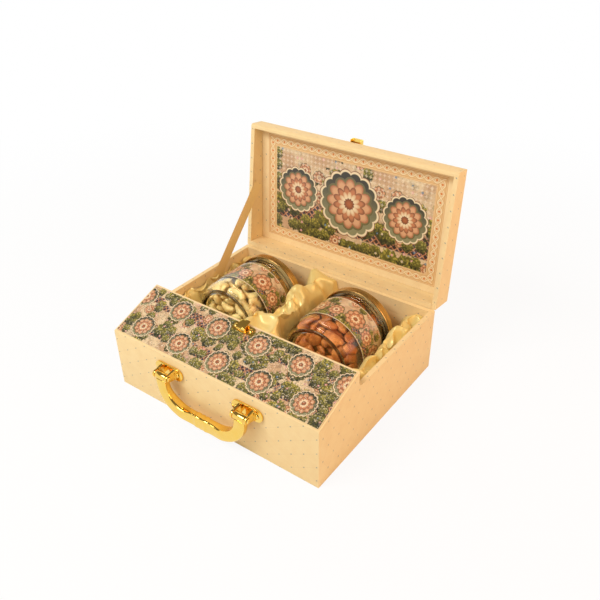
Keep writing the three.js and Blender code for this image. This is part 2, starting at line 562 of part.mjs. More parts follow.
function buildCatch() {
  const frame = new THREE.Group();
  frame.position.set(0, DECK_BACK_Y, DECK_TOP);
  frame.rotation.x = DECK_SLOPE;
  giftBox.add(frame);
  const plateLow = cardTop + GLUE_LINE;
  const pinY = catchY - CATCH_PLATE_DEPTH / 2 + CATCH_BARREL + PIN_CLEARANCE;
  const pinZ = catchPlateTop + CATCH_PIN_RISE;
  const plate = roundedPlate(CATCH_PLATE_WIDTH, CATCH_PLATE_DEPTH, plateLow, catchPlateTop, 2.5)
    .translate(0, catchY, 0);
  const ears = [-1, 1].map((side) => {
    const middle = side * (CATCH_EAR_GAP + CATCH_EAR_THICKNESS) / 2;
    const [low, high] = [middle - CATCH_EAR_THICKNESS / 2, middle + CATCH_EAR_THICKNESS / 2];
    const footLow = plateLow + CATCH_PLATE_THICKNESS / 2;
    const foot = block([low, pinY - CATCH_BARREL, footLow], [high, pinY + CATCH_BARREL, pinZ]);
    return union(foot, rod('x', CATCH_BARREL, low, high, 14).translate(0, pinY, pinZ));
  });
  const pinHole = rod('x', CATCH_PIN_RADIUS + PIN_CLEARANCE, -CATCH_PLATE_WIDTH, CATCH_PLATE_WIDTH, 12)
    .translate(0, pinY, pinZ);
  const holes = catchScrews.map((x) =>
    screwHole(CATCH_PLATE_THICKNESS * 2).translate(x, catchY, catchPlateTop));
  add(frame, 'catch_base', cut(union(plate, ...ears), pinHole, ...holes), GOLD_PLATE);

  const reach = CATCH_EAR_GAP / 2 + CATCH_EAR_THICKNESS;
  const pin = rod('x', CATCH_PIN_RADIUS, -reach - PIN_CLEARANCE, reach + PIN_CLEARANCE, 12);
  add(frame, 'catch_pin', pin.translate(0, pinY, pinZ), GOLD_PLATE);

  const leverLow = pinZ + CATCH_BARREL + GLUE_LINE;
  const leverFront = pinY - CATCH_BARREL / 2;
  const leverBack = leverFront + LEVER_DEPTH;
  const neck = LEVER_NECK / 2;
  const tongueLow = catchPlateTop + TONGUE_THICKNESS;
  const top = block(
    [-LEVER_WIDTH / 2, leverFront, leverLow], [LEVER_WIDTH / 2, leverBack, leverLow + LEVER_THICKNESS]);
  const barrel = rod('x', CATCH_BARREL, -neck, neck, 14).translate(0, pinY, pinZ);
  const joined = leverLow + LEVER_THICKNESS / 2;
  const stem = block([-neck, pinY - CATCH_BARREL / 2, pinZ], [neck, pinY + CATCH_BARREL, joined]);
  const drop = block(
    [-neck, leverBack - LEVER_THICKNESS * 2, tongueLow], [neck, leverBack - LEVER_THICKNESS / 2, joined]);
  const tongue = block(
    [-neck, leverBack - LEVER_THICKNESS, tongueLow],
    [neck, leverBack + TONGUE_LENGTH, tongueLow + TONGUE_THICKNESS]);
  add(frame, 'catch_lever', cut(union(top, barrel, stem, drop, tongue), pinHole), GOLD_PLATE);

  catchScrews.forEach((x, i) => {
    add(frame, `catch_screw_${i + 1}`, screw().translate(x, catchY, catchPlateTop + GLUE_LINE), GOLD_PLATE);
  });
}

function buildHood() {
  const frame = new THREE.Group();
  frame.position.set(0, -LID_LENGTH, LID_FRONT_HEIGHT);
  frame.rotation.x = LID_SLOPE;
  lid.add(frame);
  const plate = roundedPlate(HOOD_PLATE_WIDTH, HOOD_PLATE_DEPTH, GLUE_LINE, hoodPlateTop, 2)
    .translate(0, hoodScrewY, 0);
  const half = HOOD_WIDTH / 2;
  const shell = new THREE.Shape();
  shell.moveTo(-half, GLUE_LINE);
  shell.lineTo(half, GLUE_LINE);
  const round = HOOD_WALL * 2;
  shell.absarc(half - round, HOOD_HEIGHT - round, round, 0, Math.PI / 2, false);
  shell.absarc(-half + round, HOOD_HEIGHT - round, round, Math.PI / 2, Math.PI, false);
  const outer = alongY(shell, -HOOD_REACH, HOOD_DEPTH - HOOD_REACH, { curveSegments: 4 });
  const hollow = block(
    [-half + HOOD_WALL, -HOOD_REACH * 2, -HOOD_WALL],
    [half - HOOD_WALL, HOOD_DEPTH - HOOD_REACH - HOOD_WALL, HOOD_HEIGHT - HOOD_WALL]);
  const holes = hoodScrews.map((x) =>
    screwHole(HOOD_PLATE_THICKNESS * 2).translate(x, hoodScrewY, hoodPlateTop));
  add(frame, 'catch_hood', cut(union(plate, outer), hollow, ...holes), GOLD_PLATE);
  hoodScrews.forEach((x, i) => {
    add(frame, `hood_screw_${i + 1}`, screw().translate(x, hoodScrewY, hoodPlateTop + GLUE_LINE), GOLD_PLATE);
  });
}

// Jars: revolved about Y, with the base at y = 0.
function jarGlass() {
  const neckStart = JAR_HEIGHT - NECK_HEIGHT;
  const shoulder = neckStart - SHOULDER_HEIGHT;
  const inner = JAR_RADIUS - GLASS_WALL;
  const innerNeck = NECK_RADIUS - GLASS_WALL;
  const bead = NECK_RADIUS + THREAD_BEAD;
  const heel = [0.25, 0.5, 0.75, 1].map((part) => {
    const angle = part * Math.PI / 2;
    return [
      BASE_RING_RADIUS + (JAR_RADIUS - BASE_RING_RADIUS) * Math.sin(angle),
      HEEL_HEIGHT * (1 - Math.cos(angle)),
    ];
  });
  const turns = [0.42, 0.66].flatMap((part) => {
    const h = neckStart + NECK_HEIGHT * part;
    return [[NECK_RADIUS, h - THREAD_BEAD], [bead, h], [NECK_RADIUS, h + THREAD_BEAD]];
  });
  return revolve([
    [0, PUNT], [BASE_RING_RADIUS - PUNT * 2, PUNT], [BASE_RING_RADIUS - PUNT, 0], [BASE_RING_RADIUS, 0],
    ...heel, [JAR_RADIUS, shoulder], [NECK_RADIUS, neckStart], ...turns,
    [NECK_RADIUS, JAR_HEIGHT - 0.6], [NECK_RADIUS - 0.6, JAR_HEIGHT], [innerNeck, JAR_HEIGHT],
    [innerNeck, neckStart], [inner, shoulder], [inner, HEEL_HEIGHT + GLASS_WALL],
    [BASE_RING_RADIUS, GLASS_BASE + PUNT], [0, GLASS_BASE + PUNT],
  ], 32);
}

const ring = (low, high, inside, outside) =>
  revolve([[inside, low], [outside, low], [outside, high], [inside, high], [inside, low]], 32);

function jarCap() {
  const skirt = CAP_TOP - CAP_SKIRT;
  const wall = CAP_RADIUS - CAP_BEAD;
  return revolve([
    [0, CAP_TOP], [wall - CAP_BEAD * 2, CAP_TOP], [wall, CAP_TOP - CAP_BEAD * 2],
    [wall, skirt + CAP_BEAD * 3], [CAP_RADIUS, skirt + CAP_BEAD * 2], [CAP_RADIUS, skirt],
    [wall - CAP_METAL, skirt],
    [wall - CAP_METAL, CAP_TOP - CAP_METAL], [0, CAP_TOP - CAP_METAL],
  ], 32);
}

// Nut heap: one body of nuts set round the glass and on the base, held by the heap behind them.
function nutHeap(single) {
  const inside = JAR_RADIUS - GLASS_WALL;
  const start = GLASS_BASE + PUNT + GLUE_LINE;
  const room = BASE_RING_RADIUS;
  const core = revolve([
    [0, start + NUT_THICKNESS / 2], [room - NUT_THICKNESS, start + NUT_THICKNESS / 2],
    [inside - NUT_THICKNESS / 2, start + NUT_WIDTH],
    [inside - NUT_THICKNESS / 2, JAR_HEIGHT - NECK_HEIGHT - SHOULDER_HEIGHT],
    [0, JAR_HEIGHT - NECK_HEIGHT],
  ], 16);
  const nuts = [];
  for (let i = 0; i < NUTS_ROUND; i += 1) {
    const angle = (i / NUTS_ROUND) * Math.PI * 2;
    const tilt = i % 2 ? 0.5 : -0.4;
    nuts.push(single().rotateX(tilt)
      .translate(inside - NUT_CLEARANCE - NUT_THICKNESS / 2, start + NUT_LENGTH * 0.72, 0).rotateY(angle));
  }
  for (let i = 0; i < NUTS_ON_BASE; i += 1) {
    const angle = (i / NUTS_ON_BASE) * Math.PI * 2 + 0.4;
    nuts.push(single().rotateX(Math.PI / 2).rotateZ(Math.PI / 2)
      .rotateY(0.8).translate(room - NUT_LENGTH * 0.72, start + NUT_THICKNESS / 2, 0).rotateY(angle));
  }
  return union(core, ...nuts);
}

const almond = () => new THREE.IcosahedronGeometry(1, 1)
  .scale(NUT_THICKNESS / 2, NUT_LENGTH / 2, NUT_WIDTH / 2);

function cashew() {
  const arc = new THREE.EllipseCurve(0, 0, NUT_LENGTH / 3, NUT_LENGTH / 3, -1.1, 1.1, false, 0);
  const bend = arc.getPoints(6).map((p) => new THREE.Vector3(0, p.y, p.x - NUT_LENGTH / 3));
  const section = new THREE.Shape();
  section.absarc(0, 0, NUT_THICKNESS / 2, 0, Math.PI * 2, false);
  const extrudePath = new THREE.CatmullRomCurve3(bend);
  return new THREE.ExtrudeGeometry(section, { steps: 5, curveSegments: 4, extrudePath, bevelEnabled: false });
}

function buildJar(side, single, nutName, nutFinish) {
  const group = new THREE.Group();
  group.position.set(JAR_X[side], JAR_BASE_Y[side], JAR_AXIS_HEIGHT);
  giftBox.add(group);
  add(group, `jar_glass_${side}`, jarGlass(), GLASS);
  const labelIn = JAR_RADIUS + GLUE_LINE;
  const label = ring(LABEL_START, LABEL_START + LABEL_HEIGHT, labelIn, labelIn + LABEL_PAPER);
  add(group, `jar_label_${side}`, label, LABEL_PRINT);
  add(group, `${nutName}_${side}`, nutHeap(single), nutFinish);
  const linerLow = JAR_HEIGHT + GLUE_LINE;
  const liner = revolve([
    [0, linerLow], [NECK_RADIUS, linerLow], [NECK_RADIUS, linerLow + LINER], [0, linerLow + LINER]], 32);
  add(group, `cap_liner_${side}`, liner, LINER_WHITE);
  add(group, `jar_cap_${side}`, jarCap(), CAP_GOLD);
}

// Satin lining: one sheet that lies in two troughs under the jars and stands up in soft folds round them.
function buildSatin() {
  const lowX = -INNER_HALF + SATIN_SIDE_GAP;
  const highX = INNER_HALF - GLUE_LINE;
  const lowY = DECK_BACK_Y + GLUE_LINE;
  const highY = BACK_Y - WALL - HINGE_PAPER - GLUE_LINE;
  const bed = JAR_BED_RADIUS;
  const arcs = [-90, -72, -54, -36, -18, 0, 18, 36, 54, 72, 90].map((angle) => bed * Math.sin(deg(angle)));
  const bedsX = [JAR_X.left, JAR_X.right].flatMap((x) => arcs.map((offset) => x + offset));
  const [bedL, bedR] = [JAR_X.left + bed, JAR_X.right - bed];
  const gapX = [0.12, 0.32, 0.5, 0.68, 0.88].map((part) => THREE.MathUtils.lerp(bedL, bedR, part));
  const leftX = [0, 0.5].map((part) => THREE.MathUtils.lerp(lowX, JAR_X.left - bed, part));
  const rightX = [0.35, 0.7, 1].map((part) => THREE.MathUtils.lerp(JAR_X.right + bed, highX, part));
  const columns = [...bedsX, ...gapX, ...leftX, ...rightX].sort((a, b) => a - b);
  const rows = [];
  for (let j = 0; j < SATIN_ROWS; j += 1) {
    rows.push(THREE.MathUtils.lerp(lowY, highY, j / (SATIN_ROWS - 1)));
  }
  const smooth = THREE.MathUtils.smoothstep;

  const folds = (x, y) => SATIN_FOLD * (
    Math.sin(x * 0.19 + y * 0.05) * 0.6 + Math.sin(y * 0.16 - x * 0.07) * 0.5);
  const height = (x, y) => {
    const open = SATIN_RIDGE + folds(x, y);
    const near = Math.abs(x - JAR_X.left) < Math.abs(x - JAR_X.right) ? 'left' : 'right';
    const offset = Math.abs(x - JAR_X[near]);
    if (offset > bed + 0.01) return open;
    const trough = JAR_AXIS_HEIGHT - Math.sqrt(Math.max(bed * bed - offset * offset, 0));
    const frontEnd = JAR_BASE_Y[near] - SATIN_END_ROOM;
    const backEnd = JAR_BASE_Y[near] + CAP_TOP + SATIN_END_ROOM;
    const end = 1 - smooth(y, lowY, frontEnd) + smooth(y, backEnd, highY);
    return trough + (SATIN_END_RISE + folds(x, y)) * end * (1 - (offset / bed) ** 4);
  };
  const count = columns.length * rows.length;
  const position = [];
  [0, -SATIN].forEach((drop) => rows.forEach((y) => columns.forEach((x) => {
    position.push(x, y, height(x, y) + drop);
  })));
  const at = (i, j, layer) => layer * count + j * columns.length + i;
  const faces = [];
  const quad = (a, b, c, d) => faces.push(a, b, c, a, c, d);
  for (let j = 0; j < rows.length - 1; j += 1) {
    for (let i = 0; i < columns.length - 1; i += 1) {
      quad(at(i, j, 0), at(i + 1, j, 0), at(i + 1, j + 1, 0), at(i, j + 1, 0));
      quad(at(i, j, 1), at(i, j + 1, 1), at(i + 1, j + 1, 1), at(i + 1, j, 1));
    }
  }
  const [lastX, lastY] = [columns.length - 1, rows.length - 1];
  for (let i = 0; i < lastX; i += 1) {
    quad(at(i, 0, 0), at(i, 0, 1), at(i + 1, 0, 1), at(i + 1, 0, 0));
    quad(at(i, lastY, 0), at(i + 1, lastY, 0), at(i + 1, lastY, 1), at(i, lastY, 1));
  }
  for (let j = 0; j < lastY; j += 1) {
    quad(at(0, j, 0), at(0, j + 1, 0), at(0, j + 1, 1), at(0, j, 1));
    quad(at(lastX, j, 0), at(lastX, j, 1), at(lastX, j + 1, 1), at(lastX, j + 1, 0));
  }
  const sheet = new THREE.BufferGeometry();
  sheet.setAttribute('position', new THREE.Float32BufferAttribute(position, 3));
  sheet.setIndex(faces);
  add(giftBox, 'satin_lining', sheet, SATIN_CLOTH);
}

// Foam strips under the satin, hollowed to the jars' beds: by the left wall, in the middle, by the right wall.
function buildFoam() {
  const radius = JAR_BED_RADIUS + FOAM_EASE;
  const reach = (z) => Math.sqrt(radius ** 2 - (JAR_AXIS_HEIGHT - z) ** 2);
  const spread = (z) => Math.asin((z - JAR_AXIS_HEIGHT) / radius);
  const [low, high] = [BASE_BOARD, FOAM_TOP];
  const strip = (name, leftWall, leftJar, rightJar, rightWall) => {
    const shape = new THREE.Shape();
    if (leftJar === null) {
      shape.moveTo(leftWall, high);
      shape.lineTo(leftWall, low);
    } else {
      shape.moveTo(leftJar + reach(high), high);
      shape.absarc(leftJar, JAR_AXIS_HEIGHT, radius, spread(high), spread(low), true);
    }
    if (rightJar === null) {
      shape.lineTo(rightWall, low);
      shape.lineTo(rightWall, high);
    } else {
      shape.absarc(rightJar, JAR_AXIS_HEIGHT, radius, Math.PI - spread(low), Math.PI - spread(high), true);
    }
    const front = DECK_BACK_Y;
    const back = BACK_Y - WALL - HINGE_PAPER;
    add(giftBox, name, alongY(shape, front, back), FOAM);
  };
  const wallGap = SATIN_SIDE_GAP;
  strip('foam_left', -INNER_HALF + wallGap, null, JAR_X.left, null);
  strip('foam_middle', null, JAR_X.left, JAR_X.right, null);
  strip('foam_right', null, JAR_X.right, null, INNER_HALF);
}

buildCase();
buildLid();
buildRibbon();
[-1, 1].forEach((side) => {
  const name = side < 0 ? 'left' : 'right';
  buildBracket(`handle_bracket_${name}`, side * HANDLE_PIVOTS / 2);
  buildPin(`handle_pin_${name}`, side * HANDLE_PIVOTS / 2);
});
bracketScrews.forEach((x, i) => {
  const seated = outOfFront(screw().translate(0, 0, GLUE_LINE), x);
  add(giftBox, `bracket_screw_${i + 1}`, seated, GOLD_PLATE);
});
buildGrip();
buildCatch();
buildHood();
buildJar('left', cashew, 'cashews', CASHEW);
buildJar('right', almond, 'almonds', ALMOND);
buildFoam();
buildSatin();

export default giftBox;
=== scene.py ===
# %% [markdown]
# # A briefcase gift box
#
# The object is a small board case covered with dotted cream paper. Its front third is a sloped deck with a
# glittering print, its lid leans back on a paper hinge, and two jars of nuts lie in loose gold satin. The
# CAD model gives every size. This lesson dresses it: each step rebuilds one piece with the detail that its
# material has, and puts it exactly where its CAD node is.

# %% Load the frame
import math
import random

import bmesh
import bpy
from mathutils import Matrix, Vector, noise


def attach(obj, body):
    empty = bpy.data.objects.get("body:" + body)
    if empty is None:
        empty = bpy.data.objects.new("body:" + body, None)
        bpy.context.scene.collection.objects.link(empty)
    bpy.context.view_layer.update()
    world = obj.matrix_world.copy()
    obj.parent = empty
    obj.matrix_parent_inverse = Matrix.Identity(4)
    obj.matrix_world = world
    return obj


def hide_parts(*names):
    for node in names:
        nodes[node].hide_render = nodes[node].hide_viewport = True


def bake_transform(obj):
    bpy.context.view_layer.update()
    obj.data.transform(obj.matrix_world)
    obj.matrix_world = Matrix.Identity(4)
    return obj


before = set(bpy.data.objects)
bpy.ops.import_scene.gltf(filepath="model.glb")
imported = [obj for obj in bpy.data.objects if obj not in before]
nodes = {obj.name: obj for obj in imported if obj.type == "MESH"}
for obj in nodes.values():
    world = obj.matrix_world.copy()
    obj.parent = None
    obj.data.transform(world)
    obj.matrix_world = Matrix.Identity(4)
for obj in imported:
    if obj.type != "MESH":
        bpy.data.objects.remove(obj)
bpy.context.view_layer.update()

# %% [markdown]
# ## Camera
#
# The photograph was matched by its corners: the case's edges give the direction, and their convergence
# gives the distance and the lens. The camera is set by an azimuth, an elevation, a small roll and a
# position, so that anyone can read where it stands.

# %% Camera
AZIMUTH = math.radians(36.49)
ELEVATION = math.radians(33.19)
ROLL = math.radians(-0.80)
LENS, SENSOR = 40.64, 36.0
CAMERA_PLACE = (0.3693, -0.4565, 0.4813)
back = Vector((
    math.sin(AZIMUTH) * math.cos(ELEVATION), -math.cos(AZIMUTH) * math.cos(ELEVATION), math.sin(ELEVATION)))
level = (-back).cross(Vector((0, 0, 1))).normalized()
above = back.cross(level)
right = level * math.cos(ROLL) + above * math.sin(ROLL)
upright = above * math.cos(ROLL) - level * math.sin(ROLL)

camera_data = bpy.data.cameras.new("camera")
camera_data.sensor_width = SENSOR
camera_data.lens = LENS
camera_data.clip_start = 0.01
camera = bpy.data.objects.new("camera", camera_data)
turn = Matrix((right, upright, back)).transposed().to_4x4()
camera.matrix_world = Matrix.Translation(CAMERA_PLACE) @ turn
bpy.context.scene.collection.objects.link(camera)
bpy.context.scene.camera = camera
print("camera", [round(v, 4) for v in camera.location])

# %% [markdown]
# ## A small wiring helper
#
# A finish in Blender is a net of nodes. Written out link by link it is hard to follow, so this helper lets
# a finish read like a formula: every call places a node, feeds it numbers or sockets, and hands back its
# output.

# %% Wiring helper
def tone(code, alpha=1.0):
    """A colour written as on screen, such as f2d7a8, in the linear values that shaders use."""
    parts = [int(code[i:i + 2], 16) / 255 for i in (0, 2, 4)]
    return tuple(p / 12.92 if p <= 0.04045 else ((p + 0.055) / 1.055) ** 2.4 for p in parts) + (alpha,)


class Wiring:
    """Places nodes in one tree and joins them."""

    def __init__(self, tree):
        self.tree = tree

    def feed(self, socket, value):
        if isinstance(value, bpy.types.NodeSocket):
            self.tree.links.new(value, socket)
        else:
            socket.default_value = value

    def node(self, kind, inputs=None, **settings):
        made = self.tree.nodes.new(kind)
        for name, value in settings.items():
            setattr(made, name, value)
        for name, value in (inputs or {}).items():
            self.feed(made.inputs[name], value)
        return made

    def math(self, operation, a, b=0.0, c=0.0):
        made = self.node("ShaderNodeMath", operation=operation)
        for socket, value in zip(made.inputs, (a, b, c)):
            self.feed(socket, value)
        return made.outputs[0]

    def times(self, a, b):
        return self.math("MULTIPLY", a, b)

    def times_plus(self, a, b, c):
        return self.math("MULTIPLY_ADD", a, b, c)

    def plus(self, a, b):
        return self.math("ADD", a, b)

    def minus(self, a, b):
        return self.math("SUBTRACT", a, b)

    def over(self, a, b):
        return self.math("DIVIDE", a, b)

    def most(self, a, b):
        return self.math("MAXIMUM", a, b)

    def least(self, a, b):
        return self.math("MINIMUM", a, b)

    def absolute(self, a):
        return self.math("ABSOLUTE", a)

    def in_step(self, value):
        """The place within a step that repeats, from -0.5 to 0.5."""
        return self.minus(self.math("FRACT", value), 0.5)

    def length(self, vector):
        return self.node("ShaderNodeVectorMath", {0: vector}, operation="LENGTH").outputs["Value"]

    def vector(self, operation, first, second):
        return self.node("ShaderNodeVectorMath", {0: first, 1: second}, operation=operation).outputs[0]

    def shares(self, colour):
        """The three parts of a colour, as separate values."""
        return self.node("ShaderNodeSeparateColor", {"Color": colour}).outputs

    def mix(self, amount, first, second, blend="MIX"):
        made = self.node("ShaderNodeMix", data_type="RGBA", blend_type=blend)
        self.feed(made.inputs[0], amount)
        self.feed(made.inputs[6], first)
        self.feed(made.inputs[7], second)
        return made.outputs[2]

    def split(self, vector):
        return self.node("ShaderNodeSeparateXYZ", {"Vector": vector}).outputs

    def join(self, x=0.0, y=0.0, z=0.0):
        return self.node("ShaderNodeCombineXYZ", {"X": x, "Y": y, "Z": z}).outputs[0]

    def fade(self, value, start, end, low=0.0, high=1.0):
        """A soft step: low before start, high after end."""
        made = self.node("ShaderNodeMapRange", interpolation_type="SMOOTHSTEP")
        for socket, given in zip(made.inputs, (value, start, end, low, high)):
            self.feed(socket, given)
        return made.outputs[0]

    def cloud(self, vector, scale, detail=3.0, rough=0.55):
        made = self.node("ShaderNodeTexNoise", {
            "Vector": vector, "Scale": scale, "Detail": detail, "Roughness": rough})
        return made.outputs[0]

    def cells(self, vector, scale, randomness=0.8):
        made = self.node("ShaderNodeTexVoronoi", {
            "Vector": vector, "Scale": scale, "Randomness": randomness}, voronoi_dimensions="2D")
        return made.outputs

    def group(self, tree, inputs):
        return self.node("ShaderNodeGroup", inputs, node_tree=tree).outputs

    def bump(self, height, strength, distance, normal=None):
        made = self.node("ShaderNodeBump", {"Strength": strength, "Distance": distance, "Height": height})
        if normal is not None:
            self.feed(made.inputs["Normal"], normal)
        return made.outputs[0]

    def uv(self):
        return self.node("ShaderNodeUVMap", uv_map="UVMap").outputs[0]

    def place(self):
        return self.node("ShaderNodeTexCoord").outputs["Object"]

    def seen_by_camera(self):
        """1 for rays from the camera, also off a mirror or through glass."""
        path = self.node("ShaderNodeLightPath").outputs
        return self.most(path["Is Camera Ray"], self.most(path["Is Glossy Ray"], path["Is Transmission Ray"]))


KINDS = {"vector": "NodeSocketVector", "color": "NodeSocketColor", "float": "NodeSocketFloat"}


def new_group(name, takes, gives):
    """A node group with named sockets; takes and gives are {name: kind}."""
    tree = bpy.data.node_groups.new(name, "ShaderNodeTree")
    for label, kind in takes.items():
        tree.interface.new_socket(label, in_out="INPUT", socket_type=KINDS[kind])
    for label, kind in gives.items():
        tree.interface.new_socket(label, in_out="OUTPUT", socket_type=KINDS[kind])
    wiring = Wiring(tree)
    entry = wiring.node("NodeGroupInput").outputs
    leave = wiring.node("NodeGroupOutput").inputs
    print("group", name)
    return tree, wiring, entry, leave


def new_finish(name, **values):
    """A material with one Principled BSDF; values name its sockets, with _ for a space."""
    material = bpy.data.materials.new(name)
    material.use_nodes = True
    shader = material.node_tree.nodes["Principled BSDF"]
    for label, value in values.items():
        shader.inputs[label.replace("_", " ")].default_value = value
    print("finish", name)
    return material, Wiring(material.node_tree), shader.inputs


print("wiring helper ready")

# %% [markdown]
# ## Light and floor
#
# The photograph has a cut-out white ground and soft light that comes mostly from the upper left. A world
# that is plain white for the camera, and a dimmer warm white for everything else, gives the ground. A wide
# key lamp lights the front, a warm one the right side, and a weak one from behind the rims and the back. A
# dim ceiling is seen only in reflections: bright metal needs something dark to mirror. The floor stays
# white to the camera, keeps a soft shadow near the case, and fades into the backdrop further out.

# %% Light and floor
scene = bpy.context.scene
scene.view_settings.view_transform = "Standard"

world = bpy.data.worlds.new("studio")
scene.world = world
world.use_nodes = True
sky = Wiring(world.node_tree)
shown = sky.seen_by_camera()
backdrop = world.node_tree.nodes["Background"]
AMBIENT, AMBIENT_TINT, WHITE = 0.47, (1.0, 0.9, 0.77, 1), (1, 1, 1, 1)
sky.feed(backdrop.inputs["Color"], sky.mix(shown, AMBIENT_TINT, WHITE))
sky.feed(backdrop.inputs["Strength"], sky.fade(shown, 0.0, 1.0, AMBIENT, 1.0))
AIM = Vector((0, 0, 0.08))


def lamp(name, position, width, height, power, colour):
    data = bpy.data.lights.new(name, "AREA")
    data.shape = "RECTANGLE"
    data.size = width
    data.size_y = height
    data.energy = power
    data.color = colour
    made = bpy.data.objects.new(name, data)
    made.location = position
    made.rotation_euler = (AIM - Vector(position)).to_track_quat("-Z", "Y").to_euler()
    scene.collection.objects.link(made)


lamp("key_lamp", (-0.38, -0.9, 1.2), 0.8, 0.4, 12.7, (1.0, 0.98, 0.95))
lamp("fill_lamp", (0.9, 0.12, 0.62), 0.6, 0.6, 4.0, (1.0, 0.52, 0.24))
lamp("back_lamp", (-0.7, 1.0, 0.9), 0.8, 0.8, 2.5, (1.0, 0.97, 0.92))

STUDIO_HALF, CEILING_HEIGHT = 3.0, 1.9
CEILING_TONE, FLOOR_TONE = (0.2, 0.17, 0.14, 1), (0.9, 0.9, 0.9, 1)


def studio_sheet(name, height, finish):
    """A large plain sheet that belongs to the studio, not to the object."""
    bm = bmesh.new()
    bmesh.ops.create_grid(bm, x_segments=1, y_segments=1, size=STUDIO_HALF)
    bmesh.ops.translate(bm, vec=(0, 0, height), verts=bm.verts)
    mesh = bpy.data.meshes.new(name)
    bm.to_mesh(mesh)
    bm.free()
    mesh.materials.append(finish)
    made = bpy.data.objects.new(name, mesh)
    scene.collection.objects.link(made)
    return made


ceiling_finish, _, _ = new_finish(
    "dim_ceiling", Base_Color=(0, 0, 0, 1), Roughness=1.0, Emission_Color=CEILING_TONE, Emission_Strength=1.0)
ceiling = studio_sheet("ceiling", CEILING_HEIGHT, ceiling_finish)
ceiling.visible_camera = False
ceiling.visible_diffuse = False
ceiling.visible_shadow = False

floor_finish, w, _ = new_finish("floor_white", Base_Color=FLOOR_TONE, Roughness=0.9)
glow = w.node("ShaderNodeEmission", {"Strength": 1.0})
white_share = w.fade(w.length(w.place()), 0.3, 1.0, 0.9, 1.0)
blend = w.node("ShaderNodeMixShader", {"Fac": w.times(w.seen_by_camera(), white_share)})
floor_nodes = floor_finish.node_tree.nodes
w.feed(blend.inputs[1], floor_nodes["Principled BSDF"].outputs[0])
w.feed(blend.inputs[2], glow.outputs[0])
w.feed(floor_nodes["Material Output"].inputs["Surface"], blend.outputs[0])
studio_sheet("floor", 0.0, floor_finish)
print("lamps and floor placed")

# %% [markdown]
# ## Sizes shared with the CAD model
#
# All shapes below are drawn in millimetres and scaled to metres when they are finished. The lid is drawn
# closed, with the hinge line as its origin, and then turned open by the same angle as its CAD node.

# %% Sizes and shared mesh steps
MM = 0.001
HALF_WIDTH = 130.0
INNER_HALF = 125.0
FRONT, BACK = -108.6, 108.6
BOARD = 5.0
FRONT_HEIGHT, RIM_HEIGHT, DECK_TOP = 69.5, 74.6, 93.0
DECK_BACK = -43.7
DECK_SLOPE = math.atan2(DECK_TOP - FRONT_HEIGHT, DECK_BACK - FRONT)
NOTCH_RADIUS = 6.0
HINGE_HEIGHT = 75.3
LID_LENGTH, LID_REAR, LID_FRONT, LID_RIM = 150.3, 30.3, 19.3, 0.7
LID_SLOPE = math.atan2(LID_REAR - LID_FRONT, LID_LENGTH)
LID_CARD_DROP = 4.3 / math.cos(LID_SLOPE)
LID_TURN = Matrix.Rotation(math.radians(-97.5), 4, "X")
LID_PLACE = Matrix.Translation((0, BACK, HINGE_HEIGHT)) @ LID_TURN
DECK_PLACE = Matrix.Translation((0, DECK_BACK, DECK_TOP)) @ Matrix.Rotation(DECK_SLOPE, 4, "X")


def arc(middle, radius, start, end, steps):
    """Points on a circle, from one angle to another, in degrees."""
    angles = [math.radians(start + (end - start) * i / steps) for i in range(steps + 1)]
    return [(middle[0] + radius * math.cos(a), middle[1] + radius * math.sin(a)) for a in angles]


def made_verts(result):
    """The vertices among what an operator made."""
    return [part for part in result["geom"] if isinstance(part, bmesh.types.BMVert)]


def pull(bm, corners, way):
    """A closed outline of corners pulled into a solid."""
    face = bm.faces.new([bm.verts.new(corner) for corner in corners])
    pulled = bmesh.ops.extrude_face_region(bm, geom=[face])
    bmesh.ops.translate(bm, vec=way, verts=made_verts(pulled))
    bmesh.ops.recalc_face_normals(bm, faces=bm.faces)


def slice_at(bm, point, normal):
    everything = bm.verts[:] + bm.edges[:] + bm.faces[:]
    bmesh.ops.bisect_plane(bm, geom=everything, dist=1e-4, plane_co=point, plane_no=normal)


def hollow(bm, is_lid_of_hollow, floor_at):
    """Opens the faces that cover a hollow and pulls its walls down to a floor."""
    cover = [face for face in bm.faces if is_lid_of_hollow(face.calc_center_median())]
    bmesh.ops.delete(bm, geom=cover, context="FACES")
    rim = [e for e in bm.edges if e.is_boundary]
    for vert in made_verts(bmesh.ops.extrude_edge_only(bm, edges=rim)):
        vert.co.z = floor_at(vert.co)
    bmesh.ops.contextual_create(bm, geom=[e for e in bm.edges if e.is_boundary])
    bmesh.ops.recalc_face_normals(bm, faces=bm.faces)


def round_edges(bm, width, segments=3, sharper_than=35):
    """Bevels every sharp edge, and marks the middle of each bevel as rubbed."""
    rubbed = bm.verts.layers.float.new("rubbed")
    steep = math.radians(sharper_than)
    sharp = [e for e in bm.edges if len(e.link_faces) == 2 and e.calc_face_angle() > steep]
    made = bmesh.ops.bevel(
        bm, geom=sharp, offset=width, offset_type="OFFSET", affect="EDGES", segments=segments, profile=0.5,
        material=-1, clamp_overlap=True)
    fresh = set(made["faces"])
    for vert in made["verts"]:
        vert[rubbed] = float(all(face in fresh for face in vert.link_faces))


EDGE_ROUND = 1.1
CARD_AXES = ((1, 2), (0, 2), (0, 1))
PAPER_AXES = ((1, 2), (2, 0), (1, 0))


def wrap_uv(bm, frame_turn=Matrix.Identity(4), axes=PAPER_AXES):
    """Lays the print on each face from the side it looks to, in metres; axes says which way it runs there."""
    layer = bm.loops.layers.uv.get("UVMap") or bm.loops.layers.uv.new("UVMap")
    bm.normal_update()
    unturn = frame_turn.inverted()
    for face in bm.faces:
        look = unturn.to_3x3() @ face.normal
        main = max(range(3), key=lambda k: abs(look[k]))
        first, second = axes[main]
        for loop in face.loops:
            local = unturn @ loop.vert.co
            loop[layer].uv = (local[first] * MM, local[second] * MM)


